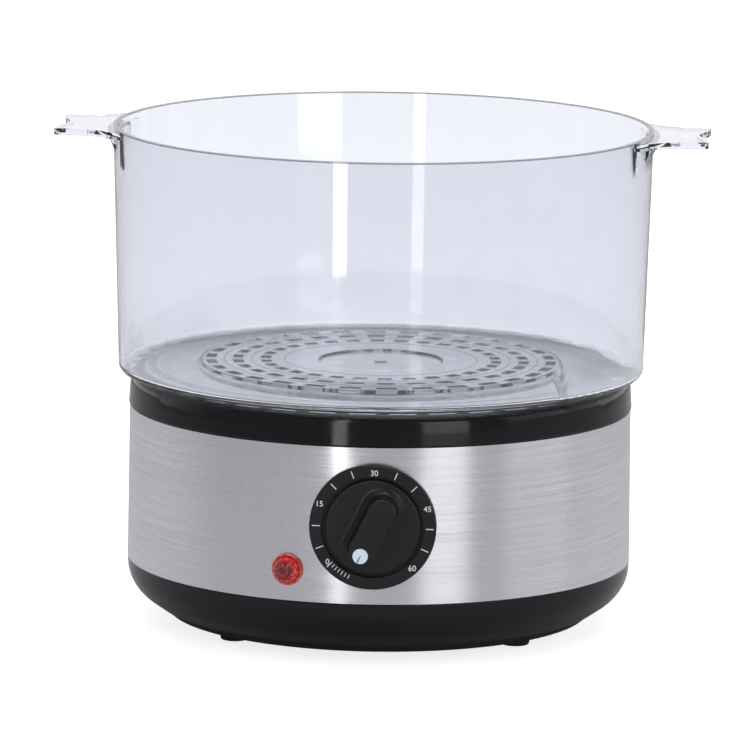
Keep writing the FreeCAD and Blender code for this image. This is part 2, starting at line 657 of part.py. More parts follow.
def make_handles(inside):
    """Both handles and the gussets under them, trimmed to the bowl's outside."""
    top = BOWL_TOP - HANDLE_DROP
    low = top - HANDLE_EDGE
    plate = prism(handle_corners(0), low, top)
    pocket = prism(handle_corners(HANDLE_EDGE_WALL), low - 1, top - HANDLE_PLATE)
    wall_low = BOWL_BASE_R + BOWL_FLARE * (low - GUSSET_FALL - BOWL_LOW) / BOWL_HEIGHT
    wedge_profile = [corner(BOWL_BASE_R, low - GUSSET_FALL), corner(wall_low, low - GUSSET_FALL),
                     corner(BOWL_R + GUSSET_OUT, low + 0.2), corner(BOWL_BASE_R, low + 0.2)]
    wedge = Part.Face(outline(wedge_profile)).revolve(Vector(0, 0, 0), UP, GUSSET_SWEEP)
    wedge.rotate(Vector(0, 0, 0), UP, -GUSSET_SWEEP / 2)
    one = plate.cut(pocket).fuse(wedge).cut(inside)
    return [one, around(one, 180)]


def make_dial_bezel():
    """Dial plate whose back follows the band, with a barrel through it, a sunk floor, bosses and hooks."""
    plate = outward(disc(BEZEL_R, BODY_R / 2, DIAL_FACE), DIAL_Z)
    rim = [e for e in plate.Edges if e.Length > 2 * pi * BEZEL_R - 0.01
           and abs(e.CenterOfMass.y + DIAL_FACE) < 0.01]
    plate = plate.makeChamfer(BEZEL_ROUND, rim).cut(band_body(-SNUG))
    barrel_back = sqrt((BODY_R - BAND_WALL) ** 2 - BARREL_R ** 2) - BEZEL_LIP
    barrel = outward(disc(BARREL_R, barrel_back, DIAL_FACE - BEZEL_ROUND), DIAL_Z)
    hook_z = sqrt((TOP_R - BAND_WALL) ** 2 - (HOOK_WIDTH / 2) ** 2) - SNUG
    hooks = [outward(slab(-HOOK_WIDTH / 2, HOOK_WIDTH / 2, min(s * (BARREL_R - 1), s * (BARREL_R + HOOK_DEPTH)),
                          max(s * (BARREL_R - 1), s * (BARREL_R + HOOK_DEPTH)), hook_z - HOOK_LENGTH, hook_z), DIAL_Z)
             for s in (-1, 1)]
    solid = plate.fuse([barrel] + hooks)
    solid = solid.cut([outward(disc(RECESS_R, DIAL_FLOOR, DIAL_FACE + 1), DIAL_Z),
                       outward(disc(RECESS_R, barrel_back - 1, DIAL_FLOOR_BACK), DIAL_Z)])
    bosses, holes = [], [outward(disc(KNOB_HUB_R + SPRING_WALL + 2 * LIFT, DIAL_FLOOR_BACK - 1, DIAL_FLOOR + 1), DIAL_Z)]
    for x in (-TIMER_SCREW_X, TIMER_SCREW_X):
        bosses.append(outward(disc(BEZEL_BOSS_R, PLATE_FRONT, DIAL_FLOOR_BACK + 0.5, x), DIAL_Z))
        holes.append(outward(disc(TIMER_SCREW_R + SNUG, PLATE_FRONT - 1, DIAL_FLOOR + 1, x), DIAL_Z))
        holes.append(outward(disc(TIMER_SCREW_HEAD_R + SNUG, DIAL_FLOOR - TIMER_SCREW_HEAD, DIAL_FLOOR + 1, x), DIAL_Z))
    keep("dial_bezel", solid.fuse(bosses).cut(holes))


def make_timer_screws():
    """Two screws from the bezel's floor, under the knob, into the timer's plate."""
    length = DIAL_FLOOR - TIMER_SCREW_HEAD - PLATE_FRONT + TIMER_PLATE + TIMER_SCREW_TIP
    one = screw(TIMER_SCREW_HEAD_R, TIMER_SCREW_HEAD, TIMER_SCREW_R, length)
    one.rotate(Vector(0, 0, 0), Vector(1, 0, 0), 180)
    one.translate(Vector(0, 0, DIAL_FLOOR))
    pair = []
    for x in (-TIMER_SCREW_X, TIMER_SCREW_X):
        copy = one.copy()
        copy.translate(Vector(x, 0, 0))
        pair.append(outward(copy, DIAL_Z))
    keep("timer_screws", Part.makeCompound(pair))


def make_timer():
    """Mounting plate, closed case with its bell post, bell, bell screw, shaft and connection tabs."""
    plate = rounded_block(TIMER_PLATE_WIDTH, TIMER_PLATE_HEIGHT, CASE_FRONT, PLATE_FRONT, TIMER_ROUND)
    case = rounded_block(TIMER_CASE_WIDTH, TIMER_CASE_HEIGHT, CASE_BACK, CASE_FRONT, TIMER_ROUND)
    post = disc(BELL_POST_R, BELL_SEAT, CASE_BACK + 1)
    shaft_hole = disc(SHAFT_R + RUN, CASE_FRONT - SHAFT_IN_CASE - LIFT, PLATE_FRONT + 1)
    cuts = [shaft_hole, disc(BELL_SCREW_R + RUN, BELL_SEAT - 1, BELL_SEAT + BELL_POST)]
    for x in (-TIMER_SCREW_X, TIMER_SCREW_X):
        cuts.append(disc(TIMER_SCREW_R + SNUG, CASE_FRONT - TIMER_SCREW_TIP - 0.5, CASE_FRONT + 1, x))
    keep("timer_case", outward(case.fuse(post).cut(cuts), DIAL_Z))
    plate_cuts = [shaft_hole] + [disc(TIMER_SCREW_R + RUN, CASE_FRONT - 1, PLATE_FRONT + 1, x)
                                 for x in (-TIMER_SCREW_X, TIMER_SCREW_X)]
    keep("timer_plate", outward(plate.cut(plate_cuts), DIAL_Z))

    rim = CASE_BACK - BELL_RIM_GAP
    bell = turned([
        corner(BELL_SCREW_R + SNUG, BELL_BACK), corner(BELL_R, BELL_BACK, BELL_ROUND), corner(BELL_R, rim),
        corner(BELL_R - BELL_WALL, rim), corner(BELL_R - BELL_WALL, BELL_SEAT, BELL_ROUND - BELL_WALL),
        corner(BELL_SCREW_R + SNUG, BELL_SEAT)])
    keep("timer_bell", outward(bell, DIAL_Z))
    bell_screw = screw(BELL_SCREW_HEAD_R, BELL_SCREW_HEAD, BELL_SCREW_R, BELL_WALL + BELL_POST - 1.5,
                       head_low=BELL_BACK - BELL_SCREW_HEAD)
    keep("bell_screw", outward(bell_screw, DIAL_Z))

    shaft = disc(SHAFT_R, CASE_FRONT - SHAFT_IN_CASE, DIAL_FLOOR + KNOB_GAP + SHAFT_IN_KNOB)
    flat = slab(SHAFT_FLAT, SHAFT_R + 1, -SHAFT_R, SHAFT_R, DIAL_FLOOR + KNOB_GAP - KNOB_HUB - LIFT,
                DIAL_FACE + KNOB_HEIGHT)
    keep("timer_shaft", outward(pointed(shaft.cut(flat)), DIAL_Z))

    low = -TIMER_CASE_HEIGHT / 2
    middle = (CASE_FRONT + CASE_BACK) / 2
    tabs = [slab(x - TAB_WIDTH / 2, x + TAB_WIDTH / 2, low - TAB_LENGTH, low, middle - TAB_THICK / 2,
                 middle + TAB_THICK / 2) for x in (-TIMER_CASE_WIDTH / 4, TIMER_CASE_WIDTH / 4)]
    keep("timer_tabs", outward(Part.makeCompound(tabs), DIAL_Z))


def pointed(shape):
    """Turn a knob piece built with its pointer straight up to the rest position."""
    copy = shape.copy()
    copy.rotate(Vector(0, 0, 0), UP, POINTER_REST)
    return copy


def grip_corners(grow):
    """Round-ended bar of the knob's grip in plan, pointer up."""
    a, b = GRIP_WIDTH / 2 + grow, GRIP_LENGTH / 2 + grow
    return [corner(a, -b, a), corner(a, b, a), corner(-a, b, a), corner(-a, -b, a)]


def make_knob():
    """Timer knob with a raised bar grip swept into its disc, marker disc and hub spring."""
    back = DIAL_FLOOR + KNOB_GAP
    front = back + KNOB_DISC
    top = back + KNOB_HEIGHT
    base = disc(KNOB_R, back, front)
    rim = [e for e in base.Edges if abs(e.CenterOfMass.z - front) < 0.01 and e.Length > pi * KNOB_R]
    base = base.makeFillet(1.0, rim)
    grip = prism(grip_corners(0), front - 1, top)
    knob = base.fuse(grip).removeSplitter()
    root = [e for e in knob.Edges if abs(e.BoundBox.ZMin - front) < 0.01 and abs(e.BoundBox.ZMax - front) < 0.01
            and e.BoundBox.XMax < KNOB_R - 1.5 and e.BoundBox.YMax < KNOB_R - 1.5]
    knob = knob.makeFillet(min(GRIP_FLARE, KNOB_R - 1.0 - GRIP_LENGTH / 2 - 0.2), root)
    crest = [e for e in knob.Edges if abs(e.BoundBox.ZMin - top) < 0.01]
    knob = knob.makeFillet(GRIP_ROUND, crest)
    hub = disc(KNOB_HUB_R, back - KNOB_HUB, back + 0.5)
    bore = disc(SHAFT_R + RUN, back - KNOB_HUB - 1, back + SHAFT_IN_KNOB + LIFT).cut(
        slab(SHAFT_FLAT + RUN, SHAFT_R + 1, -SHAFT_R - 1, SHAFT_R + 1, back - KNOB_HUB - 2, back + KNOB_HEIGHT))
    pocket = disc(MARKER_R + RUN, top - MARKER_DEPTH, top + 1, 0, MARKER_OFFSET)
    relief = tube(KNOB_R - 2.5, KNOB_HUB_R + 2.0, back - 0.1, back + KNOB_DISC - 1.6)
    keep("timer_knob", outward(pointed(knob.fuse(hub).cut([bore, pocket, relief])), DIAL_Z))
    marker = disc(MARKER_R, top - MARKER_DEPTH, top + MARKER_PROUD, 0, MARKER_OFFSET)
    keep("knob_marker", outward(pointed(marker), DIAL_Z))
    ring = tube(KNOB_HUB_R + SPRING_WALL + RUN, KNOB_HUB_R + RUN, back - KNOB_HUB + 0.4, back - KNOB_GAP)
    ring = ring.cut(slab(-1, 1, -KNOB_R, 0, back - KNOB_HUB, back))
    keep("knob_spring", outward(pointed(ring), DIAL_Z))


def clamp_places():
    """Plan positions of the clamp ring's screws."""
    return [polar(HEATER_R + CLAMP_LAP, i * 360 / CLAMP_SCREWS + 30) for i in range(CLAMP_SCREWS)]


def make_heater():
    """Heater plate in the reservoir's floor with gasket, clamp, tube, thermostat, bridge and fuse."""
    plate = turned([
        corner(0, HEATER_LOW), corner(HEATER_R, HEATER_LOW), corner(HEATER_R, GASKET_LOW),
        corner(BUTTON_R, GASKET_LOW), corner(BUTTON_R, TANK_FLOOR + BUTTON_RISE, 1.2),
        corner(0, TANK_FLOOR + BUTTON_RISE)])
    keep("heater_plate", plate)
    keep("heater_gasket", tube(HEATER_R, BUTTON_R + 1.0, GASKET_LOW, FLOOR_UNDER))
    clamp_low = HEATER_LOW - CLAMP_WALL
    ring = tube(HEATER_R + CLAMP_OUT, HEATER_R - CLAMP_LAP, clamp_low, HEATER_LOW)
    ring = ring.cut([disc(CLAMP_SCREW_R + SNUG, clamp_low - 1, HEATER_LOW + 1, *p) for p in clamp_places()])
    keep("heater_clamp", ring)
    length = CLAMP_WALL + FLOOR_UNDER - HEATER_LOW - 0.5
    keep("clamp_screws", Part.makeCompound([
        screw(CLAMP_SCREW_HEAD_R, CLAMP_SCREW_HEAD, CLAMP_SCREW_R, length, *p, clamp_low - CLAMP_SCREW_HEAD)
        for p in clamp_places()]))

    bend = Part.makeTorus(TUBE_BEND_R, TUBE_R, Vector(0, 0, 0), UP, 0, 360, TUBE_SWEEP)
    bend.translate(Vector(0, 0, TUBE_Z))
    start = 180 + (360 - TUBE_SWEEP) / 2
    bend = around(bend, start)
    parts, tabs = [bend], []
    for angle in (start, start + TUBE_SWEEP):
        x, y = polar(TUBE_BEND_R, angle)
        parts.append(Part.makeSphere(TUBE_R, Vector(x, y, TUBE_Z)))
        parts.append(disc(TUBE_R, TUBE_Z - TUBE_TAIL, TUBE_Z, x, y))
        low = TUBE_Z - TUBE_TAIL
        tabs.append(slab(x - TAB_THICK / 2, x + TAB_THICK / 2, y - TAB_WIDTH / 2, y + TAB_WIDTH / 2,
                         low - TAB_LENGTH * 0.75, low))
    keep("heating_tube", fused(parts))
    keep("heater_tabs", Part.makeCompound(tabs))

    keep("thermostat", turned([
        corner(0, HEATER_LOW - THERMOSTAT_DEPTH), corner(THERMOSTAT_R - 1.5, HEATER_LOW - THERMOSTAT_DEPTH),
        corner(THERMOSTAT_R - 1.5, HEATER_LOW - 3), corner(THERMOSTAT_R, HEATER_LOW - 3),
        corner(THERMOSTAT_R, HEATER_LOW), corner(0, HEATER_LOW)]))
    strap = HEATER_LOW - THERMOSTAT_DEPTH
    reach = HEATER_R - CLAMP_LAP + BRIDGE_LAP
    half = BRIDGE_WIDTH / 2
    bridge = slab(-half, half, -reach, reach, strap - BRIDGE_WALL, strap)
    legs = [slab(-half, half, min(s * reach, s * (reach - BRIDGE_WALL)), max(s * reach, s * (reach - BRIDGE_WALL)),
                 strap - BRIDGE_WALL, clamp_low) for s in (-1, 1)]
    feet = [slab(-half, half, min(s * reach, s * (reach + BRIDGE_FOOT)), max(s * reach, s * (reach + BRIDGE_FOOT)),
                 clamp_low - BRIDGE_WALL, clamp_low) for s in (-1, 1)]
    keep("thermostat_bridge", around(bridge.fuse(legs + feet), 90))
    fuse = Part.makeCylinder(FUSE_R, FUSE_LENGTH, Vector(-FUSE_LENGTH / 2, 0, 0), Vector(1, 0, 0))
    fuse.translate(Vector(0, 0, HEATER_LOW - FUSE_R))
    keep("thermal_fuse", around(shifted(fuse, FUSE_Y), 90))


def shifted(shape, y):
    """Copy moved along Y."""
    copy = shape.copy()
    copy.translate(Vector(0, y, 0))
    return copy


def make_lamp():
    """Red domed lens through the band, its push-on retainer and the bulb in it."""
    seat = band_radius(LAMP_Z) + SNUG / 2
    inner = LENS_BARREL_R - LENS_WALL
    back = seat - LENS_BARREL
    lens = turned([
        corner(inner, back), corner(LENS_BARREL_R, back), corner(LENS_BARREL_R, seat), corner(LENS_R, seat),
        corner(LENS_R, seat + LENS_FLANGE, 0.5), corner(LENS_TOP_R, seat + LENS_FLANGE + LENS_DOME, LENS_ROUND),
        corner(0, seat + LENS_FLANGE + LENS_DOME), corner(0, seat + LENS_FLANGE), corner(inner, seat)])
    keep("pilot_lens", outward(lens, LAMP_Z, LAMP_TURN))
    behind = sqrt((band_radius(LAMP_Z) - BAND_WALL) ** 2 - RETAINER_R ** 2) - SNUG
    keep("lamp_retainer", outward(tube(RETAINER_R, LENS_BARREL_R + RUN, behind - RETAINER_WALL, behind),
                                  LAMP_Z, LAMP_TURN))
    bulb = turned([
        corner(0, back - 3), corner(inner - RUN, back - 3), corner(inner - RUN, back + 2.5), corner(BULB_R, back + 2.5),
        corner(BULB_R, back - 3 + BULB_LENGTH, BULB_R * 0.9), corner(0, back - 3 + BULB_LENGTH)])
    keep("pilot_bulb", outward(bulb, LAMP_Z, LAMP_TURN))


def make_gland():
    """Cord gland through the pan's pad with its hexagon nut inside."""
    face = BODY_R + GLAND_PAD
    gland = turned([
        corner(GLAND_BORE_R, face - GLAND_BODY), corner(GLAND_R, face - GLAND_BODY),
        corner(GLAND_R, face), corner(GLAND_FLANGE_R, face), corner(GLAND_FLANGE_R, face + GLAND_FLANGE, 1.0),
        corner(GLAND_BORE_R, face + GLAND_FLANGE)])
    keep("cord_gland", outward(gland, GLAND_RISE, 180))
    inner = BODY_R - BAND_WALL - SNUG - SPIGOT_WALL - GLAND_PAD_IN
    hexagon = [corner(*polar(GLAND_NUT_R, i * 60)) for i in range(6)]
    nut = prism(hexagon, inner - GLAND_NUT, inner).cut(disc(GLAND_R + RUN, inner - GLAND_NUT - 1, inner + 1))
    keep("gland_nut", outward(nut, GLAND_RISE, 180))


def make_terminal_block():
    """Three-way terminal block on the bottom cover, with its clamp screws."""
    top = COVER_TOP + BLOCK_HEIGHT
    front = BLOCK_Y - BLOCK_WIDTH / 2
    block = slab(-BLOCK_LENGTH / 2, BLOCK_LENGTH / 2, front, front + BLOCK_WIDTH, COVER_TOP, top)
    pitch = BLOCK_LENGTH / BLOCK_SCREWS
    places = [((i - (BLOCK_SCREWS - 1) / 2) * pitch, BLOCK_Y) for i in range(BLOCK_SCREWS)]
    wells = [disc(BLOCK_SCREW_R + SNUG, COVER_TOP + BLOCK_HEIGHT / 2, top + 1, x, y) for x, y in places]
    ways = [Part.makeCylinder(BLOCK_WAY_R, BLOCK_WIDTH + 2, Vector(x, front - 1, COVER_TOP + BLOCK_WAY_RISE),
                              Vector(0, 1, 0)) for x, _ in places]
    keep("terminal_block", block.cut(wells + ways))
    keep("terminal_screws", Part.makeCompound(
        [disc(BLOCK_SCREW_R, COVER_TOP + BLOCK_HEIGHT / 2, top - 1.0, x, y).cut(
            slab(x - 3, x + 3, y - 0.4, y + 0.4, top - 1.8, top)) for x, y in places]))


def main():
    """Build every piece and write one STEP file each."""
    make_feet()
    make_bottom_cover()
    make_cover_screws()
    make_base_pan()
    make_body_band()
    make_reservoir_tub()
    make_heater()
    make_steam_ring()
    make_drip_tray()
    make_steam_bowl()
    make_dial_bezel()
    make_timer_screws()
    make_timer()
    make_knob()
    make_lamp()
    make_gland()
    make_terminal_block()
    os.makedirs("parts", exist_ok=True)
    for name, shape in PIECES.items():
        shape.exportStep(f"parts/{name}.step")
        print(f"{name}: {len(shape.Solids)} solid(s), {shape.Volume / 1000:.2f} cm3, valid {shape.isValid()}")


main()
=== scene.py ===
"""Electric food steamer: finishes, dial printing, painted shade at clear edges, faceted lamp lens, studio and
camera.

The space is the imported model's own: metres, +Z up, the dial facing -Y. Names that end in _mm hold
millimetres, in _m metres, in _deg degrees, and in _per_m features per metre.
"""
import json
import logging
import math
from dataclasses import dataclass, field
from enum import Enum

import bpy
import numpy as np
from mathutils import Matrix, Vector


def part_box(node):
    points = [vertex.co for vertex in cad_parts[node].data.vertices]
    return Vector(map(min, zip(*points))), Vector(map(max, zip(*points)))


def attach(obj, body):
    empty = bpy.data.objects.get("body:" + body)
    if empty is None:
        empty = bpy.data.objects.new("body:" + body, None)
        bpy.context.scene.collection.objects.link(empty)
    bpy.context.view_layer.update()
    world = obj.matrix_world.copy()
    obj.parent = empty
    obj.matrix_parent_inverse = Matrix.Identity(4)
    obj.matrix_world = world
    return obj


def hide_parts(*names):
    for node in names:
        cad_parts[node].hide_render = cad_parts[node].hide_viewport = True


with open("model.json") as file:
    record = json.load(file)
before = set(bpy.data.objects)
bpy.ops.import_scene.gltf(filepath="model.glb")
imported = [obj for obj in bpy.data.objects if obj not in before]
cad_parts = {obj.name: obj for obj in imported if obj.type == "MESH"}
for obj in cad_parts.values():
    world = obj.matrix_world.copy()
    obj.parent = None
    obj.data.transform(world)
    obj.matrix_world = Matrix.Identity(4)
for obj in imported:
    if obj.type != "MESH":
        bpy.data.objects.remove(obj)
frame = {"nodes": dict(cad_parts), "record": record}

MM = 0.001
log = logging.getLogger("steamer")


class Grain(Enum):
    """How the fine texture of a finish runs."""

    EVEN = "even"
    ROUND_THE_BODY = "round the body"
    TURNED = "turned on a lathe"


class Value:
    """A number on a material's node tree that takes part in Python sums."""

    def __init__(self, graph: "Graph", socket: bpy.types.NodeSocket) -> None:
        """Wrap a socket.

        Args:
            graph: The node tree that the socket belongs to.
            socket: The output that carries the number.
        """
        self.graph = graph
        self.socket = socket

    def _sum(self, operation: str, first: "Value | float", second: "Value | float") -> "Value":
        """Add one Math node.

        Args:
            operation: The Math node's operation.
            first: Left operand.
            second: Right operand.

        Returns:
            The node's result.
        """
        return self.graph.add("ShaderNodeMath", {"operation": operation}, {0: first, 1: second})

    def __add__(self, other: "Value | float") -> "Value":
        """self + other."""
        return self._sum("ADD", self, other)

    def __radd__(self, other: float) -> "Value":
        """other + self."""
        return self._sum("ADD", other, self)

    def __sub__(self, other: "Value | float") -> "Value":
        """self - other."""
        return self._sum("SUBTRACT", self, other)

    def __rsub__(self, other: float) -> "Value":
        """other - self."""
        return self._sum("SUBTRACT", other, self)

    def __mul__(self, other: "Value | float") -> "Value":
        """self * other."""
        return self._sum("MULTIPLY", self, other)

    def __rmul__(self, other: float) -> "Value":
        """other * self."""
        return self._sum("MULTIPLY", other, self)

    def __truediv__(self, other: "Value | float") -> "Value":
        """self / other."""
        return self._sum("DIVIDE", self, other)

    def __rtruediv__(self, other: float) -> "Value":
        """other / self."""
        return self._sum("DIVIDE", other, self)

    def __pow__(self, other: "Value | float") -> "Value":
        """self ** other."""
        return self._sum("POWER", self, other)

    def most(self, other: "Value | float") -> "Value":
        """The larger of self and other."""
        return self._sum("MAXIMUM", self, other)

    def turn_from(self, other: "Value | float") -> "Value":
        """The angle, in radians, whose tangent is self / other."""
        return self._sum("ARCTAN2", self, other)

    def sine(self) -> "Value":
        """The sine of self, an angle in radians."""
        return self.graph.add("ShaderNodeMath", {"operation": "SINE"}, {0: self})


class Graph:
    """A material's or world's node tree, built by adding nodes one at a time."""

    def __init__(self, tree: bpy.types.NodeTree) -> None:
        """Empty the tree.

        Args:
            tree: The node tree to build in.
        """
        self.tree = tree
        tree.nodes.clear()

    def add(self, kind: str, settings: dict[str, object] | None = None,
            inputs: dict[str | int, object] | None = None, output: str | int = 0) -> Value:
        """Add any node.

        Args:
            kind: The node's type name.
            settings: Attributes that are set first; "stops" fills a colour ramp with (place, colour) pairs.
            inputs: Socket names or numbers with a value, or a link to another node's result.
            output: The output socket that is returned.

        Returns:
            The chosen output, ready for sums.
        """
        node = self.tree.nodes.new(kind)
        for name, value in (settings or {}).items():
            if name == "stops":
                elements = node.color_ramp.elements
                elements[0].position, elements[0].color = value[0]
                elements[-1].position, elements[-1].color = value[-1]
                for place, colour in value[1:-1]:
                    elements.new(place).color = colour
            else:
                setattr(node, name, value)
        for name, value in (inputs or {}).items():
            if isinstance(value, Value):
                self.tree.links.new(value.socket, node.inputs[name])
            else:
                node.inputs[name].default_value = value
        return Value(self, node.outputs[output])

    def place(self) -> Value:
        """Object coordinates, in metres."""
        return self.add("ShaderNodeTexCoord", output="Object")

    def rays(self, *kinds: str) -> tuple[Value, ...]:
        """Whether the ray that is being traced is of each kind.

        Args:
            kinds: Names of the Light Path node's outputs.

        Returns:
            1 or 0 for each kind.
        """
        node = self.add("ShaderNodeLightPath").socket.node
        return tuple(Value(self, node.outputs[kind]) for kind in kinds)

    def noise(self, vector: Value, per_metre: float, detail: float = 3.0, rough: float = 0.5) -> Value:
        """Noise from 0 to 1.

        Args:
            vector: Where it is read.
            per_metre: Features per metre.
            detail: Octaves.
            rough: How strong the finer octaves are.

        Returns:
            The noise's value.
        """
        return self.add("ShaderNodeTexNoise", {}, {"Vector": vector, "Scale": per_metre, "Detail": detail,
                                                   "Roughness": rough}, "Fac")

    def split(self, vector: Value) -> tuple[Value, Value, Value]:
        """The three parts of a vector.

        Args:
            vector: What is taken apart.

        Returns:
            Its X, Y and Z.
        """
        first = self.add("ShaderNodeSeparateXYZ", {}, {0: vector})
        return tuple(Value(self, socket) for socket in first.socket.node.outputs)

    def join(self, x: Value | float, y: Value | float, z: Value | float) -> Value:
        """A vector from three numbers.

        Args:
            x: Its X.
            y: Its Y.
            z: Its Z.

        Returns:
            The vector.
        """
        return self.add("ShaderNodeCombineXYZ", {}, {0: x, 1: y, 2: z})

    def mix(self, share: Value, a: tuple[float, ...] | Value, b: tuple[float, ...] | Value) -> Value:
        """Colour between a and b.

        Args:
            share: 0 gives a, 1 gives b.
            a: First colour.
            b: Second colour.

        Returns:
            The mixed colour.
        """
        return self.add("ShaderNodeMix", {"data_type": "RGBA"}, {0: share, 6: a, 7: b}, 2)

    def fit(self, value: Value, low: float, high: float, to_low: float, to_high: float) -> Value:
        """A value stretched from one range onto another and held inside it.

        Args:
            value: What is stretched.
            low: Where the first range begins.
            high: Where it ends.
            to_low: What low becomes.
            to_high: What high becomes.

        Returns:
            The stretched value.
        """
        return self.add("ShaderNodeMapRange", {}, {0: value, 1: low, 2: high, 3: to_low, 4: to_high})

    def bump(self, height: Value, depth: float, strength: float = 1.0) -> Value:
        """Surface normal from a height.

        Args:
            height: Height from 0 to 1.
            depth: What 1 stands for, in metres.
            strength: Share of the effect.

        Returns:
            The normal.
        """
        return self.add("ShaderNodeBump", {}, {"Height": height, "Distance": depth, "Strength": strength},
                        "Normal")

    def end(self, shader: Value, kind: str = "ShaderNodeOutputMaterial") -> None:
        """Send a shader to the tree's output.

        Args:
            shader: The surface's or the background's shader.
            kind: The output node's type name.
        """
        node = self.tree.nodes.new(kind)
        self.tree.links.new(shader.socket, node.inputs["Surface"])


Colour = tuple[float, float, float]
Place = tuple[float, float, float]


def opaque(colour: Colour) -> tuple[float, float, float, float]:
    """A colour with full alpha.

    Args:
        colour: Red, green and blue.

    Returns:
        The same with 1 after it.
    """
    return (*colour, 1.0)


def scaled(colour: Colour, by: float) -> Colour:
    """A colour made lighter or darker.

    Args:
        colour: Red, green and blue.
        by: What each is multiplied by.

    Returns:
        The new colour, at most 1 in each part.
    """
    return tuple(min(1.0, c * by) for c in colour)


@dataclass(frozen=True)
class Finish:
    """A finish that a piece can be given."""

    name: str
    colour: Colour

    def shader(self, graph: Graph) -> Value:
        """Build the shader; each kind of finish has its own.

        Args:
            graph: The tree to build in.

        Returns:
            The finished shader.
        """
        raise NotImplementedError

    def material(self) -> bpy.types.Material:
        """The finish as a Blender material, made once.

        Returns:
            The material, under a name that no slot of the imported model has.
        """
        title = f"finish_{self.name}"
        known = bpy.data.materials.get(title)
        if known is not None:
            return known
        made = bpy.data.materials.new(title)
        made.use_nodes = True
        made.diffuse_color = opaque(self.colour)
        graph = Graph(made.node_tree)
        graph.end(self.shader(graph))
        return made


@dataclass(frozen=True)
class Moulded(Finish):
    """Moulded plastic or rubber: faint colour drift, fine grain and uneven gloss."""

    roughness: float = 0.3
    gloss_drift: float = 0.06
    grain_mm: float = 0.5
    grain_depth_mm: float = 0.004
    colour_drift: float = 0.06
    coat: float = 0.0
    coat_roughness: float = 0.06
    glow: float = 0.0
    glow_m: float = 0.004
    refraction: float = 1.5
    alpha: float = 1.0
    drift_per_m: float = 22.0
    cloud_per_m: float = 90.0

    def shader(self, graph: Graph) -> Value:
        """Noise drives colour, gloss and grain.

        Args:
            graph: The tree to build in.

        Returns:
            The finished shader.
        """
        place = graph.place()
        drift = graph.noise(place, self.drift_per_m, 2.0)
        cloud = graph.noise(place, self.cloud_per_m, 4.0, 0.6)
        grain = graph.noise(place, 1.0 / (self.grain_mm * MM), 2.0)
        shade = drift * 0.6 + cloud * 0.4
        colour = graph.mix(graph.fit(shade, 0.3, 0.7, 0.0, 1.0),
                           opaque(scaled(self.colour, 1 - self.colour_drift)),
                           opaque(scaled(self.colour, 1 + self.colour_drift)))
        rough = graph.fit(cloud, 0.3, 0.7, self.roughness - self.gloss_drift,
                          self.roughness + self.gloss_drift)
        rough = rough + (grain - 0.5) * (self.gloss_drift * 0.8)
        height = grain * 0.8 + cloud * 0.2
        inputs: dict[str | int, object] = {
            "Base Color": colour, "Roughness": rough, "IOR": self.refraction, "Alpha": self.alpha,
            "Coat Weight": self.coat, "Coat Roughness": self.coat_roughness,
            "Normal": graph.bump(height, self.grain_depth_mm * MM)}
        if self.glow > 0.0:
            inputs["Subsurface Weight"] = self.glow
            inputs["Subsurface Radius"] = (1.0, 0.9, 0.8)
            inputs["Subsurface Scale"] = self.glow_m
        return graph.add("ShaderNodeBsdfPrincipled", {}, inputs)


@dataclass(frozen=True)
class Metal(Finish):
    """Bare or plated metal with its working marks along the grain."""

    roughness: float = 0.3
    grain: Grain = Grain.EVEN
    line_mm: float = 0.16
    streak: float = 0.10
    depth_mm: float = 0.0015
    anisotropy: float = 0.0
    across: float = 0.0
    stain: float = 0.05
    fine_stretch: float = 170.0
    broad_stretch: float = 95.0
    broad_share: float = 0.30
    cloud_per_m: float = 26.0
    body_radius_m: float = 0.11
    turned_radius_m: float = 0.03

    def along(self, graph: Graph, stretch: float) -> Value:
        """Coordinates in which the grain's lines are long one way and fine the other.

        Round the body, the angle about +Z times a radius runs along the lines and height runs across them.
        Turned, the lines are circles about +Z, so the radius runs across them.

        Args:
            graph: The tree to build in.
            stretch: How much longer than wide a line is.

        Returns:
            The coordinates, in metres, short along the lines.
        """
        place = graph.place()
        if self.grain is Grain.EVEN:
            return place
        x, y, z = graph.split(place)
        turn = x.turn_from(y)
        radius = (x * x + y * y) ** 0.5
        if self.grain is Grain.TURNED:
            return graph.join(turn * (self.turned_radius_m / stretch), radius, z)
        return graph.join(turn * (self.body_radius_m / stretch), radius * 0.2, z)

    def shader(self, graph: Graph) -> Value:
        """Fine and broad streaks drive colour, gloss and height.

        Args:
            graph: The tree to build in.

        Returns:
            The finished shader.
        """
        line = self.line_mm * MM
        fine = graph.noise(self.along(graph, self.fine_stretch), 1.0 / line, 3.0, 0.62)
        broad = graph.noise(self.along(graph, self.broad_stretch), self.broad_share / line, 2.0)
        cloud = graph.noise(graph.place(), self.cloud_per_m, 3.0, 0.55)
        tone = fine * 0.45 + broad * 0.4 + cloud * 0.15
        colour = graph.mix(graph.fit(tone, 0.36, 0.64, 0.0, 1.0),
                           opaque(scaled(self.colour, 1 - self.streak)),
                           opaque(scaled(self.colour, 1 + self.streak)))
        rough = graph.fit(broad * 0.5 + fine * 0.5, 0.35, 0.65,
                          self.roughness * 0.8, self.roughness * 1.2)
        rough = rough + (cloud - 0.5) * self.stain
        return graph.add("ShaderNodeBsdfPrincipled", {}, {
            "Base Color": colour, "Metallic": 1.0, "Roughness": rough, "Anisotropic": self.anisotropy,
            "Anisotropic Rotation": self.across,
            "Normal": graph.bump(fine * 0.7 + broad * 0.3, self.depth_mm * MM)})


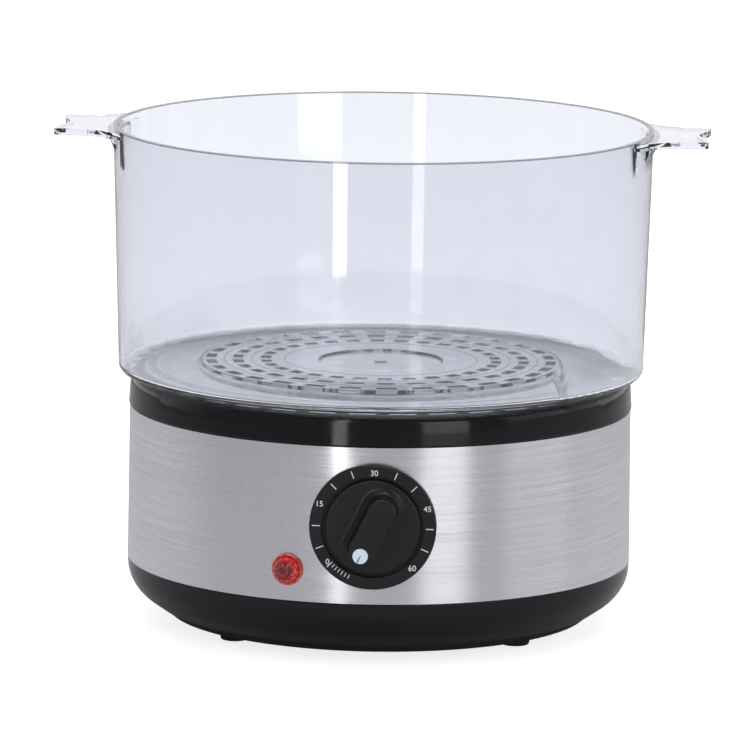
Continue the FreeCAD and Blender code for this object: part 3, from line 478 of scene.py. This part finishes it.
@dataclass(frozen=True)
class Clear(Finish):
    """Clear moulded plastic that bends light and lets lamps through to what is behind it."""

    roughness: float = 0.02
    refraction: float = 1.57
    wave_mm: float = 16.0
    wave_depth_mm: float = 0.02
    scuff_per_m: float = 420.0
    scuff_share: float = 0.02
    scuff_rough: float = 0.05
    wave_tint: float = 0.985
    lamp_tint: Colour = (0.975, 0.98, 0.99)

    def shader(self, graph: Graph) -> Value:
        """Glassy shader with moulding waves; lamps and bounced light pass straight through.

        Args:
            graph: The tree to build in.

        Returns:
            The finished shader.
        """
        place = graph.place()
        wave = graph.noise(place, 1.0 / (self.wave_mm * MM), 1.0)
        scuff = graph.noise(place, self.scuff_per_m, 4.0, 0.65)
        rough = graph.fit(scuff, 0.45, 0.75, self.roughness, self.roughness + self.scuff_rough)
        tint = graph.mix(graph.fit(wave, 0.3, 0.7, 0.0, 1.0),
                         opaque(scaled(self.colour, self.wave_tint)), opaque(self.colour))
        body = graph.add("ShaderNodeBsdfPrincipled", {}, {
            "Base Color": tint, "Roughness": rough, "IOR": self.refraction, "Transmission Weight": 1.0,
            "Normal": graph.bump(wave + scuff * self.scuff_share, self.wave_depth_mm * MM)})
        shadow, bounced = graph.rays("Is Shadow Ray", "Is Diffuse Ray")
        window = graph.add("ShaderNodeBsdfTransparent", {}, {"Color": opaque(self.lamp_tint)})
        return graph.add("ShaderNodeMixShader", {}, {0: shadow.most(bounced), 1: body, 2: window})


LENS_HEIGHT_MM = 43.8
LENS_TURN_DEG = -19.1
# Painted light and shade of the lens's facets, from the middle (0) to the rim (1): dark and bright red rings,
# with a pale painted highlight near the rim.
LENS_LIGHT_RINGS = [
    (0.0, (0.16, 0.010, 0.012, 1)), (0.16, (0.07, 0.003, 0.005, 1)), (0.30, (0.44, 0.020, 0.020, 1)),
    (0.44, (0.12, 0.005, 0.006, 1)), (0.58, (0.30, 0.010, 0.012, 1)), (0.70, (0.78, 0.030, 0.026, 1)),
    (0.84, (0.52, 0.014, 0.016, 1)), (0.92, (0.86, 0.090, 0.080, 1)), (1.0, (0.46, 0.012, 0.014, 1))]


@dataclass(frozen=True)
class RedLens(Finish):
    """Deep red moulded lens with painted light and shade: bright and dark rings and dark wedges of facets round
    a dark middle, and a faint painted red glow.
    """

    roughness: float = 0.05
    radius_mm: float = 7.0
    wedges: float = 12.0
    wedge_twist: float = 4.0
    wedge_shade_depth: float = 0.42
    wedge_shade_colour: Colour = (0.10, 0.002, 0.004)
    edge_per_m: float = 700.0
    # Strength of a painted red glow, so that the lens looks brighter.
    light_level: float = 0.10

    def shader(self, graph: Graph) -> Value:
        """The distance and the angle from the lens's own axis place the painted rings of light and shade and
        the painted shade wedges.

        Args:
            graph: The tree to build in.

        Returns:
            The finished shader.
        """
        x, y, z = graph.split(graph.place())
        turn = math.radians(LENS_TURN_DEG)
        side = x * math.cos(turn) + y * math.sin(turn)
        rise = z - LENS_HEIGHT_MM * MM
        ring = ((side * side + rise * rise) ** 0.5) / (self.radius_mm * MM)
        angle = side.turn_from(rise)
        wedge = (angle * self.wedges + ring * self.wedge_twist).sine()
        edge = graph.noise(graph.place(), self.edge_per_m, 2.0)
        # Painted light and shade: the ramp's bright and dark red rings stand in for light through the facets.
        shade = graph.add("ShaderNodeValToRGB", {"stops": LENS_LIGHT_RINGS}, {"Fac": ring + (edge - 0.5) * 0.06})
        # Painted shade: darker wedges across the facets.
        wedge_shade = graph.fit(wedge, -0.5, 0.7, 0.0, self.wedge_shade_depth)
        colour = graph.mix(wedge_shade, shade, opaque(self.wedge_shade_colour))
        # The emission is a painted glow in the lens's own colour.
        return graph.add("ShaderNodeBsdfPrincipled", {}, {
            "Base Color": colour,
            "Roughness": graph.fit(edge, 0.3, 0.7, self.roughness, self.roughness + 0.06),
            "IOR": 1.5, "Coat Weight": 0.6, "Coat Roughness": 0.03,
            "Emission Color": colour, "Emission Strength": self.light_level,
            "Normal": graph.bump(edge, 0.05 * MM, 0.4)})


@dataclass(frozen=True)
class Woven(Finish):
    """Woven glass sleeve."""

    thread_mm: float = 0.6

    def shader(self, graph: Graph) -> Value:
        """Crossed bands give the weave.

        Args:
            graph: The tree to build in.

        Returns:
            The finished shader.
        """
        place = graph.place()
        weave = graph.add("ShaderNodeTexWave", {"wave_type": "BANDS", "bands_direction": "DIAGONAL"},
                          {"Vector": place, "Scale": 0.3 / (self.thread_mm * MM), "Distortion": 1.0}, "Fac")
        colour = graph.mix(weave, opaque(scaled(self.colour, 0.8)), opaque(self.colour))
        return graph.add("ShaderNodeBsdfPrincipled", {}, {
            "Base Color": colour, "Roughness": graph.fit(weave, 0.0, 1.0, 0.9, 0.7),
            "Normal": graph.bump(weave, 0.1 * MM)})


BLACK_GLOSS = Moulded("black_gloss", (0.0055, 0.0055, 0.0072), roughness=0.10, gloss_drift=0.03, grain_mm=1.4,
                      grain_depth_mm=0.0012, colour_drift=0.10, refraction=1.38)
BLACK_SATIN = Moulded("black_satin", (0.0085, 0.0085, 0.0105), roughness=0.32, gloss_drift=0.05, grain_mm=0.45,
                      grain_depth_mm=0.005, colour_drift=0.10, refraction=1.40)
BLACK_MATTE = Moulded("black_matte", (0.0095, 0.0095, 0.0105), roughness=0.50, gloss_drift=0.06, grain_mm=0.7,
                      grain_depth_mm=0.02, colour_drift=0.12, refraction=1.42)
RUBBER = Moulded("foot_rubber", (0.022, 0.022, 0.022), roughness=0.72, gloss_drift=0.08, grain_mm=0.4,
                 grain_depth_mm=0.015, colour_drift=0.15)
TRAY = Moulded("tray_plastic", (0.91, 0.915, 0.92), roughness=0.30, gloss_drift=0.06, grain_mm=0.8,
               grain_depth_mm=0.006, colour_drift=0.03, glow=0.27)
WHITE = Moulded("white_plastic", (0.78, 0.78, 0.76), roughness=0.42, colour_drift=0.04)
SILICONE = Moulded("silicone", (0.42, 0.10, 0.06), roughness=0.6, grain_mm=0.6, grain_depth_mm=0.01)
MARKER = Moulded("marker_plastic", (0.74, 0.87, 0.97), roughness=0.22, gloss_drift=0.04, colour_drift=0.03,
                 coat=0.4)
INK = Moulded("dial_ink", (0.82, 0.83, 0.84), roughness=0.5, grain_mm=0.2, grain_depth_mm=0.003,
              colour_drift=0.08)
BLACK_INK = Moulded("marker_ink", (0.015, 0.015, 0.018), roughness=0.45, grain_mm=0.2, grain_depth_mm=0.003)
BRUSHED = Metal("brushed_band", (0.81, 0.80, 0.845), roughness=0.28, grain=Grain.ROUND_THE_BODY, line_mm=0.30,
                streak=0.065, depth_mm=0.0008, anisotropy=0.85, across=0.25)
ZINC = Metal("zinc_steel", (0.60, 0.61, 0.63), roughness=0.33, line_mm=0.9, streak=0.08)
HEATER_STEEL = Metal("heater_steel", (0.34, 0.31, 0.28), roughness=0.45, line_mm=1.2, streak=0.16)
ALUMINIUM = Metal("cast_aluminium", (0.72, 0.73, 0.74), roughness=0.36, grain=Grain.TURNED, line_mm=0.35,
                  streak=0.10)
CHROME = Metal("bell_chrome", (0.74, 0.75, 0.77), roughness=0.10, line_mm=2.0, streak=0.03)
BRASS = Metal("brass_tab", (0.72, 0.54, 0.24), roughness=0.30, line_mm=0.8, streak=0.10)
CLEAR = Clear("clear_plastic", (0.788, 0.804, 0.853))
# Painted shade: see-through dark grey for the slots' walls and the nub bars, where the clear plastic shows
# dark.
PAINTED_EDGE_SHADE = Moulded("painted_edge_shade", (0.24, 0.245, 0.28), roughness=0.25, colour_drift=0.05, alpha=0.36)
# Painted shade: a darker see-through grey for the line in the clear rim.
PAINTED_RIM_SHADE = Moulded("painted_rim_shade", (0.17, 0.175, 0.21), roughness=0.25, colour_drift=0.05, alpha=0.45)
# Painted shade: a faint see-through grey on the floor's real ridges.
PAINTED_RIDGE_SHADE = Moulded("painted_ridge_shade", (0.42, 0.43, 0.47), roughness=0.25, colour_drift=0.05, alpha=0.30)
LENS = RedLens("red_lens", (0.62, 0.015, 0.02))
BULB = Clear("bulb_glass", (0.98, 0.90, 0.86), roughness=0.0, refraction=1.45, wave_mm=3.0)
SLEEVE = Woven("fuse_sleeve", (0.82, 0.80, 0.74))

FINISHES: dict[str, Finish] = {f.name: f for f in (
    BLACK_GLOSS, BLACK_SATIN, BLACK_MATTE, RUBBER, TRAY, WHITE, SILICONE, MARKER, BRUSHED, ZINC, HEATER_STEEL,
    ALUMINIUM, CHROME, BRASS, CLEAR, LENS, BULB, SLEEVE)}


def new_piece(name: str, points: np.ndarray, faces: np.ndarray, finish: Finish, body: str,
              smooth: bool = True) -> bpy.types.Object:
    """Put a worked-out surface into the scene.

    Args:
        name: The piece's name.
        points: N by 3 places in metres.
        faces: M by 3 or M by 4 corner numbers.
        finish: What it is finished in.
        body: The body that it rides on.
        smooth: True for smooth shading.

    Returns:
        The piece's object, at the origin.
    """
    mesh = bpy.data.meshes.new(name)
    mesh.from_pydata(points.tolist(), [], faces.tolist())
    mesh.validate()
    mesh.polygons.foreach_set("use_smooth", np.full(len(mesh.polygons), smooth))
    mesh.materials.append(finish.material())
    piece = bpy.data.objects.new(name, mesh)
    bpy.context.scene.collection.objects.link(piece)
    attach(piece, body)
    return piece


def loop_faces(rows: int, columns: int) -> np.ndarray:
    """Quads between neighbouring points of a grid whose last row and column meet its first.

    Args:
        rows: Corners of the turned outline.
        columns: Steps round the turn.

    Returns:
        M by 4 corner numbers, for points that are stored row after row.
    """
    r, c = np.meshgrid(np.arange(rows), np.arange(columns), indexing="ij")
    below, beside = (r + 1) % rows, (c + 1) % columns
    return np.stack([r * columns + c, r * columns + beside, below * columns + beside, below * columns + c],
                    axis=-1).reshape(-1, 4)


def repeated(faces: np.ndarray, points_each: int, times: int) -> np.ndarray:
    """The same faces for several copies of one shape.

    Args:
        faces: The first copy's corner numbers.
        points_each: Points in one copy.
        times: How many copies.

    Returns:
        All the faces, copy after copy.
    """
    return np.concatenate([faces + points_each * i for i in range(times)])


@dataclass
class Housing:
    """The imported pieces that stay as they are, each with the finish of its slot in the record."""

    sharp_deg: float = 28.0
    weld_mm: float = 0.002

    def dress(self) -> None:
        """Weld each node's loose triangles for shading only, and give it its finish."""
        slots = {row["node"]: row["material_slot"] for row in frame["record"]["subparts"]}
        for name, node in frame["nodes"].items():
            finish = FINISHES[slots[name]]
            node.data.materials.clear()
            node.data.materials.append(finish.material())
            node.data.polygons.foreach_set("material_index", np.zeros(len(node.data.polygons), np.int32))
            node.data.polygons.foreach_set("use_smooth", np.ones(len(node.data.polygons), bool))
            weld = node.modifiers.new("weld", "WELD")
            weld.merge_threshold = self.weld_mm * MM
            split = node.modifiers.new("edges", "EDGE_SPLIT")
            split.split_angle = math.radians(self.sharp_deg)
            log.info("%s in %s", name, finish.name)


@dataclass
class DialPrint:
    """White scale and numbers on the dial's ring."""

    inner_mm: float = 22.9
    outer_mm: float = 26.3
    width_mm: float = 0.38
    comb_inner_mm: float = 23.1
    comb_outer_mm: float = 25.0
    comb_width_mm: float = 0.34
    turn_deg: float = 1.0
    minute_deg: float = 4.5
    zero_deg: float = -133.0
    thick_mm: float = 0.04
    sunk_mm: float = 0.02
    letter_mm: float = 2.45
    letter_share: float = 0.7
    letter_spread_mm: float = 0.02
    ticks: tuple[float, ...] = (5.0, 10.0, 20.0, 25.0, 35.0, 40.0, 50.0, 55.0)
    comb: tuple[float, ...] = (-135.6, -139.3, -143.1, -147.0, -151.0, -155.0)
    numbers: tuple[tuple[str, float, float], ...] = (
        ("0", -128.6, 24.75), ("15", -66.8, 25.2), ("30", 1.0, 23.7), ("45", 70.6, 25.0), ("60", 135.9, 24.8))
    centre: Vector = field(default_factory=lambda: Vector((0, 0, 0)))

    def angle_of(self, minutes: float) -> float:
        """Where a number of minutes stands.

        Args:
            minutes: From 0 to 60.

        Returns:
            Degrees clockwise from straight up, seen from the front.
        """
        return (minutes - 30.0) * self.minute_deg + self.turn_deg

    def bar(self, angle: float, inner: float, outer: float, width: float) -> np.ndarray:
        """Eight corners of one radial bar on the dial's face.

        A corner is centre + r * (sin a, 0, cos a) + s * (cos a, 0, -sin a) - t * (0, 1, 0), with r inner or
        outer, s half the width either way and t the print's thickness or a little way into the face.

        Args:
            angle: Degrees clockwise from straight up.
            inner: Inner radius in millimetres.
            outer: Outer radius in millimetres.
            width: Width in millimetres.

        Returns:
            8 by 3 places in metres.
        """
        a = math.radians(angle)
        along = np.array([math.sin(a), 0.0, math.cos(a)])
        across = np.array([math.cos(a), 0.0, -math.sin(a)])
        out = np.array([0.0, -1.0, 0.0])
        r, s, t = np.meshgrid([inner, outer], [-width / 2, width / 2], [-self.sunk_mm, self.thick_mm],
                              indexing="ij")
        flat = np.stack([r.ravel(), s.ravel(), t.ravel()], axis=1) * MM
        return np.array(self.centre) + flat @ np.stack([along, across, out])

    def build_scale(self) -> bpy.types.Object:
        """One mesh of all the bars.

        Returns:
            The scale's piece.
        """
        bars = [self.bar(self.angle_of(m), self.inner_mm, self.outer_mm, self.width_mm) for m in self.ticks]
        bars.append(self.bar(self.turn_deg + self.zero_deg, self.comb_inner_mm, self.outer_mm, self.width_mm))
        bars += [self.bar(a, self.comb_inner_mm, self.comb_outer_mm, self.comb_width_mm) for a in self.comb]
        box = np.array([[0, 1, 3, 2], [4, 6, 7, 5], [0, 4, 5, 1], [2, 3, 7, 6], [0, 2, 6, 4], [1, 5, 7, 3]])
        return new_piece("dial_scale", np.concatenate(bars), repeated(box, 8, len(bars)), INK, "base",
                         smooth=False)

    def build_numbers(self) -> bpy.types.Object:
        """The numbers as one mesh, each upright and centred on its place.

        Returns:
            The numbers' piece.
        """
        all_points, all_faces, count = [], [], 0
        for number, angle, radius in self.numbers:
            letters = bpy.data.curves.new(f"number_{number}", "FONT")
            letters.body = number
            letters.align_x = letters.align_y = "CENTER"
            letters.size = self.letter_mm * MM / self.letter_share
            letters.extrude = self.thick_mm * MM / 2
            letters.offset = self.letter_spread_mm * MM
            letters.resolution_u = 6
            holder = bpy.data.objects.new(f"number_{number}", letters)
            bpy.context.scene.collection.objects.link(holder)
            bpy.context.view_layer.update()
            mesh = bpy.data.meshes.new_from_object(holder)
            a, r = math.radians(angle), radius * MM
            spot = self.centre + Vector((r * math.sin(a), -self.thick_mm * MM / 2, r * math.cos(a)))
            mesh.transform(Matrix.Translation(spot) @ Matrix.Rotation(math.pi / 2, 4, "X"))
            mesh.calc_loop_triangles()
            points = np.empty(len(mesh.vertices) * 3)
            mesh.vertices.foreach_get("co", points)
            corners = np.empty(len(mesh.loop_triangles) * 3, np.int32)
            mesh.loop_triangles.foreach_get("vertices", corners)
            all_points.append(points.reshape(-1, 3))
            all_faces.append(corners.reshape(-1, 3) + count)
            count += len(mesh.vertices)
            bpy.data.objects.remove(holder)
            bpy.data.meshes.remove(mesh)
        return new_piece("dial_numbers", np.concatenate(all_points), np.concatenate(all_faces), INK, "base",
                         smooth=False)

    def build(self) -> None:
        """Scale and numbers on the bezel's front face."""
        low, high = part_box("dial_bezel")
        self.centre = Vector(((low.x + high.x) / 2, low.y, (low.z + high.z) / 2))
        for piece in (self.build_scale(), self.build_numbers()):
            log.info("%s has %d faces", piece.name, len(piece.data.polygons))


@dataclass
class MarkerLine:
    """Thin black line on the knob's marker disc, from its centre to its edge."""

    width_mm: float = 0.55
    thick_mm: float = 0.05
    sunk_mm: float = 0.02
    start_mm: float = 0.3
    start_share: float = 0.5
    reach: float = 0.93

    def build(self) -> bpy.types.Object:
        """A tapering bar on the disc's face, pointing away from the knob's axis.

        Returns:
            The line's piece.
        """
        low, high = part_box("knob_marker")
        disc = Vector(((low.x + high.x) / 2, low.y, (low.z + high.z) / 2))
        bezel_low, bezel_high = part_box("dial_bezel")
        axis = Vector((0.0, low.y, (bezel_low.z + bezel_high.z) / 2))
        outward = (disc - axis).normalized()
        side = Vector((outward.z, 0.0, -outward.x))
        radius = (high.x - low.x) / 2
        wide = self.width_mm * MM / 2
        slim = wide * self.start_share
        near, far = disc - outward * self.start_mm * MM, disc + outward * radius * self.reach
        outline = [near - side * slim, far - side * wide, far + side * wide, near + side * slim]
        rise = Vector((0.0, -self.thick_mm * MM, 0.0))
        sink = Vector((0.0, self.sunk_mm * MM, 0.0))
        points = np.array([p + sink for p in outline] + [p + rise for p in outline])
        faces = np.array([[3, 2, 1, 0], [4, 5, 6, 7], [0, 1, 5, 4], [1, 2, 6, 5], [2, 3, 7, 6], [3, 0, 4, 7]])
        return new_piece("marker_line", points, faces, BLACK_INK, "knob", smooth=False)


@dataclass
class ClearBowl:
    """Painted shade where clear plastic shows dark: see-through dark sheets on its slots' walls, grey on its
    floor's ridges, dark bars at its nubs and a dark line in its rim.
    """

    turn_deg: float = -2.7
    rows_mm: tuple[float, ...] = (76.0, 64.0, 51.5)
    slots: int = 30
    slot_width_mm: float = 4.6
    slot_sweep_deg: float = 7.0
    slot_low_mm: float = 116.34
    floor_mm: float = 118.5
    lining_mm: float = 0.22
    ridges_mm: tuple[float, ...] = (80.4, 70.0, 57.75, 43.0)
    ridge_width_mm: float = 0.5
    ridge_rise_mm: float = 0.16
    lift_mm: float = 0.01
    nubs: int = 40
    nub_r_mm: float = 114.6
    nub_depth_mm: float = 0.9
    nub_span_mm: tuple[float, float] = (114.05, 114.55)
    nub_sweep_deg: float = 3.6
    nub_steps: int = 5
    rim_r_mm: float = 119.6
    rim_top_mm: float = 223.6
    rim_wall_mm: float = 0.36
    rim_gap_mm: float = 0.02

    def lining_points(self, middle: float, angle: float) -> np.ndarray:
        """Sixteen corners of one slot's lining of painted shade.

        The lining's plan is the slot's own four-sided outline, with corners at radius middle +- width / 2 and
        angle +- sweep / 2, and the same outline drawn inwards by the lining's thickness. It stands from the
        floor's underside to its top.

        Args:
            middle: The slot's middle radius in millimetres.
            angle: Its angle in degrees.

        Returns:
            16 by 3 places in metres.
        """
        outline = []
        for inset in (0.0, self.lining_mm):
            half = math.radians(self.slot_sweep_deg / 2)
            for r, sign in ((-1, -1), (1, -1), (1, 1), (-1, 1)):
                radius = middle + r * (self.slot_width_mm / 2 - inset)
                along, side = radius * math.cos(half), sign * (radius * math.sin(half) - inset)
                outline.append((along, side))
        flat = np.array(outline)
        a = math.radians(angle + self.turn_deg)
        spin = np.array([[math.cos(a), math.sin(a)], [-math.sin(a), math.cos(a)]])
        flat = flat @ spin
        low = np.column_stack([flat, np.full(8, self.slot_low_mm)])
        high = np.column_stack([flat, np.full(8, self.floor_mm)])
        return np.concatenate([low, high]) * MM

    def shade_linings(self) -> bpy.types.Object:
        """Painted shade on the walls of all the slots, as one mesh of dark see-through closed frames.

        Returns:
            The linings' piece.
        """
        faces = []
        for i in range(4):
            j = (i + 1) % 4
            faces += [[i, j, j + 8, i + 8], [4 + j, 4 + i, 12 + i, 12 + j], [8 + i, 8 + j, 12 + j, 12 + i],
                      [j, i, 4 + i, 4 + j]]
        slot_shades = [self.lining_points(row, i * 360 / self.slots)
                 for row in self.rows_mm for i in range(self.slots)]
        return new_piece("slot_wall_shade", np.concatenate(slot_shades), repeated(np.array(faces), 16, len(slot_shades)),
                         PAINTED_EDGE_SHADE, "steam_bowl", smooth=False)

    def ring(self, name: str, profile: list[tuple[float, float]], finish: Finish, columns: int = 256) -> None:
        """A closed outline turned about the body's axis.

        A point is (r cos t, r sin t, z) for each (r, z) of the outline and t from 0 to a full turn.

        Args:
            name: The piece's name.
            profile: Radius and height of the outline's corners in millimetres.
            finish: What it is finished in.
            columns: Steps round the turn.
        """
        corners = np.array(profile) * MM
        t = np.linspace(0.0, 2.0 * math.pi, columns, endpoint=False)
        r, turn = np.meshgrid(corners[:, 0], t, indexing="ij")
        z = np.repeat(corners[:, 1:2], columns, axis=1)
        points = np.stack([r * np.cos(turn), r * np.sin(turn), z], axis=-1).reshape(-1, 3)
        new_piece(name, points, loop_faces(len(profile), columns), finish, "steam_bowl", smooth=False)

    def ridges(self) -> None:
        """A low ridge at each step of the floor, in see-through grey as painted shade."""
        half = self.ridge_width_mm / 2
        foot, top = self.floor_mm + self.lift_mm, self.floor_mm + self.ridge_rise_mm
        for i, r in enumerate(self.ridges_mm):
            self.ring(f"floor_ridge_shade_{i}", [(r - half, foot), (r + half, foot), (r + half * 0.5, top),
                                           (r - half * 0.5, top)], PAINTED_RIDGE_SHADE)

    def nub_shades(self) -> bpy.types.Object:
        """A short dark curved bar of painted shade under the floor's edge at each nub that the bowl stands on.

        A point is (r cos a, r sin a, z), with a at nub_steps places over the bar's sweep and (r, z) at the
        four corners of its section.

        Returns:
            The bars' piece.
        """
        n = self.nub_steps
        inner, outer = self.nub_r_mm - self.nub_depth_mm, self.nub_r_mm
        low, high = self.nub_span_mm
        steps = np.linspace(-1, 1, n) * math.radians(self.nub_sweep_deg / 2)
        points: list[np.ndarray] = []
        for i in range(self.nubs):
            a = math.radians(i * 360 / self.nubs + self.turn_deg) + steps
            for r, z in ((inner, low), (outer, low), (outer, high), (inner, high)):
                points.append(np.stack([r * np.cos(a), r * np.sin(a), np.full(n, z)], axis=1) * MM)
        faces = [[k * n + c, k * n + c + 1, (k + 1) % 4 * n + c + 1, (k + 1) % 4 * n + c]
                 for k in range(4) for c in range(n - 1)]
        faces += [[0, n, 2 * n, 3 * n], [4 * n - 1, 3 * n - 1, 2 * n - 1, n - 1]]
        return new_piece("nub_shades", np.concatenate(points), repeated(np.array(faces), 4 * n, self.nubs),
                         PAINTED_EDGE_SHADE, "steam_bowl", smooth=False)

    def build(self) -> None:
        """Painted shade at the slots, ridges, nubs and rim line."""
        self.shade_linings()
        self.ridges()
        self.nub_shades()
        # Painted shade: a thin dark ring inside the rim's top.
        inner, outer = self.rim_r_mm - self.rim_wall_mm, self.rim_r_mm
        low, high = self.rim_top_mm - 2 * self.rim_wall_mm, self.rim_top_mm - self.rim_gap_mm
        self.ring("rim_shade_line", [(inner, low), (outer, low), (outer, high), (inner, high)], PAINTED_RIM_SHADE)


@dataclass
class PilotLens:
    """Red lens with a ring flange and a cut-facet dome, on its own axis through the band."""

    columns: int = 24
    facet_mm: float = 0.16
    dome_from: int = 9
    profile: tuple[tuple[float, float], ...] = (
        (4.6, 101.5), (5.7, 101.5), (5.7, 112.45), (6.85, 112.45), (7.0, 112.8), (7.0, 113.5), (6.6, 113.95),
        (6.15, 113.9), (5.85, 113.6), (5.75, 114.6), (5.35, 116.0), (4.6, 117.0), (3.6, 117.7), (2.5, 118.1),
        (1.3, 118.3), (0.02, 118.3))
    hollow: tuple[tuple[float, float], ...] = ((0.02, 113.7), (4.6, 112.5))

    def build(self) -> bpy.types.Object:
        """Turn the outline about the lens's axis, with neighbouring facets raised and sunk by turns.

        A point lies at distance s from the body's axis along the lens's axis, and (r sin t, r cos t) across it.
        On the dome s gains facet * (-1) ** (row + column).

        Returns:
            The lens's piece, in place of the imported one.
        """
        outline = np.array(self.profile + self.hollow)
        rows, columns = len(outline), self.columns
        r = np.repeat(outline[:, :1], columns, axis=1)
        s = np.repeat(outline[:, 1:], columns, axis=1)
        row, column = np.indices((rows, columns))
        dome = (row >= self.dome_from) & (row < len(self.profile) - 2)
        s = s + np.where(dome, self.facet_mm * (1 - 2 * ((row + column) % 2)), 0.0)
        t = (column + 0.5 * (row % 2) * dome) * 2 * math.pi / columns
        turn = math.radians(LENS_TURN_DEG)
        out = np.array([math.sin(turn), -math.cos(turn), 0.0])
        side = np.array([math.cos(turn), math.sin(turn), 0.0])
        up = np.array([0.0, 0.0, 1.0])
        points = (s[..., None] * out + (r * np.sin(t))[..., None] * side
                  + (r * np.cos(t) + LENS_HEIGHT_MM)[..., None] * up)
        lens = new_piece("faceted_lens", points.reshape(-1, 3) * MM, loop_faces(rows, columns), LENS, "base",
                         smooth=False)
        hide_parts("pilot_lens")
        return lens


@dataclass(frozen=True)
class SoftBox:
    """A soft lamp: where it stands and what it points at in metres, its width and height, its watts."""

    name: str
    place: Place
    aim: Place
    size: tuple[float, float]
    watts: float

    def build(self) -> None:
        """Put the lamp into the scene."""
        data = bpy.data.lights.new(self.name, "AREA")
        data.shape = "RECTANGLE"
        data.size, data.size_y = self.size
        data.energy = self.watts
        lamp = bpy.data.objects.new(self.name, data)
        bpy.context.scene.collection.objects.link(lamp)
        lamp.location = self.place
        lamp.rotation_euler = (Vector(self.place) - Vector(self.aim)).to_track_quat("Z", "Y").to_euler()


@dataclass
class Studio:
    """Pale floor, white surround, soft lamps and the camera."""

    boxes: tuple[SoftBox, ...] = (
        SoftBox("overhead", (0.1, 0.1, 1.7), (0, 0, 0.1), (1.6, 1.4), 14.5),
        SoftBox("right_box", (1.00, -1.70, 0.50), (0, 0, 0.25), (0.74, 0.98), 4.6),
        SoftBox("right_fill", (1.95, -0.45, 0.60), (0, 0, 0.20), (1.3, 1.1), 3.0),
        SoftBox("left_strip", (-0.219, -0.790, 0.40), (0, 0, 0.30), (0.085, 0.78), 0.86))
    floor_half_m: float = 6.0
    floor_colour: Colour = (0.80, 0.80, 0.80)
    floor_mirrored: Colour = (0.58, 0.58, 0.60)
    floor_shine: float = 0.80
    surround: float = 0.42
    mirrored_front: float = 0.28
    mirrored_back: float = 1.0
    distance_m: float = 2.9462
    target_mm: Place = (-5.7, 0.0, 114.4)
    elevation_deg: float = 9.73
    azimuth_deg: float = 1.41
    roll_deg: float = 0.72
    lens_mm: float = 322.5
    sensor_mm: float = 36.0

    def floor(self) -> None:
        """A large pale floor that shows white to the camera and keeps the shadow."""
        half = self.floor_half_m
        points = np.array([[-half, -half, 0], [half, -half, 0], [half, half, 0], [-half, half, 0]], float)
        mesh = bpy.data.meshes.new("floor")
        mesh.from_pydata(points.tolist(), [], [[0, 1, 2, 3]])
        paint = bpy.data.materials.new("floor_paint")
        paint.use_nodes = True
        graph = Graph(paint.node_tree)
        camera, through, glossy = graph.rays("Is Camera Ray", "Is Transmission Ray", "Is Glossy Ray")
        seen = camera.most(through)
        colour = graph.mix(glossy, opaque(self.floor_colour), opaque(self.floor_mirrored))
        matt = graph.add("ShaderNodeBsdfPrincipled", {}, {
            "Base Color": colour, "Roughness": 0.9, "Specular IOR Level": 0.1,
            "Emission Color": (1.0, 1.0, 1.0, 1.0), "Emission Strength": seen * self.floor_shine})
        graph.end(matt)
        mesh.materials.append(paint)
        floor = bpy.data.objects.new("floor", mesh)
        bpy.context.scene.collection.objects.link(floor)

    def world(self) -> None:
        """White to the eye and to reflections, softer for the light it sheds."""
        world = bpy.data.worlds.new("studio")
        world.use_nodes = True
        graph = Graph(world.node_tree)
        camera, through, glossy = graph.rays("Is Camera Ray", "Is Transmission Ray", "Is Glossy Ray")
        seen = camera.most(through)
        behind = graph.split(graph.add("ShaderNodeTexCoord", output="Generated"))[1]
        mirrored = graph.fit(behind, -0.2, 0.5, self.mirrored_front, self.mirrored_back)
        light_level = graph.fit(seen, 0.0, 1.0, self.surround, 1.0)
        strength = light_level * (1.0 - glossy) + mirrored * glossy
        sky = graph.add("ShaderNodeBackground", {}, {"Color": (1.0, 1.0, 1.0, 1.0), "Strength": strength})
        graph.end(sky, "ShaderNodeOutputWorld")
        bpy.context.scene.world = world

    def camera(self) -> None:
        """Camera at the photograph's angle: a long lens, a little above, rolled a touch."""
        data = bpy.data.cameras.new("camera")
        data.sensor_width, data.lens = self.sensor_mm, self.lens_mm
        data.clip_start, data.clip_end = 0.05, 60.0
        camera = bpy.data.objects.new("camera", data)
        bpy.context.scene.collection.objects.link(camera)
        a, e = math.radians(self.azimuth_deg), math.radians(self.elevation_deg)
        back = Vector((math.sin(a) * math.cos(e), -math.cos(a) * math.cos(e), math.sin(e)))
        camera.location = Vector(self.target_mm) * MM + back * self.distance_m
        turn = (-back).to_track_quat("-Z", "Y").to_matrix().to_4x4()
        turn = turn @ Matrix.Rotation(math.radians(self.roll_deg), 4, "Z")
        camera.rotation_euler = turn.to_euler()
        bpy.context.scene.camera = camera

    def build(self) -> None:
        """Set up everything that isn't the object."""
        self.floor()
        self.world()
        for box in self.boxes:
            box.build()
        self.camera()
        bpy.context.scene.view_settings.view_transform = "Standard"


def main() -> None:
    """Build the classes in order."""
    logging.basicConfig(level=logging.INFO, format="%(name)s: %(message)s")
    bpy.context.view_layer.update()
    Housing().dress()
    DialPrint().build()
    ClearBowl().build()
    for piece in (MarkerLine().build(), PilotLens().build()):
        log.info("%s made", piece.name)
    Studio().build()


if __name__ == "__main__":
    main()
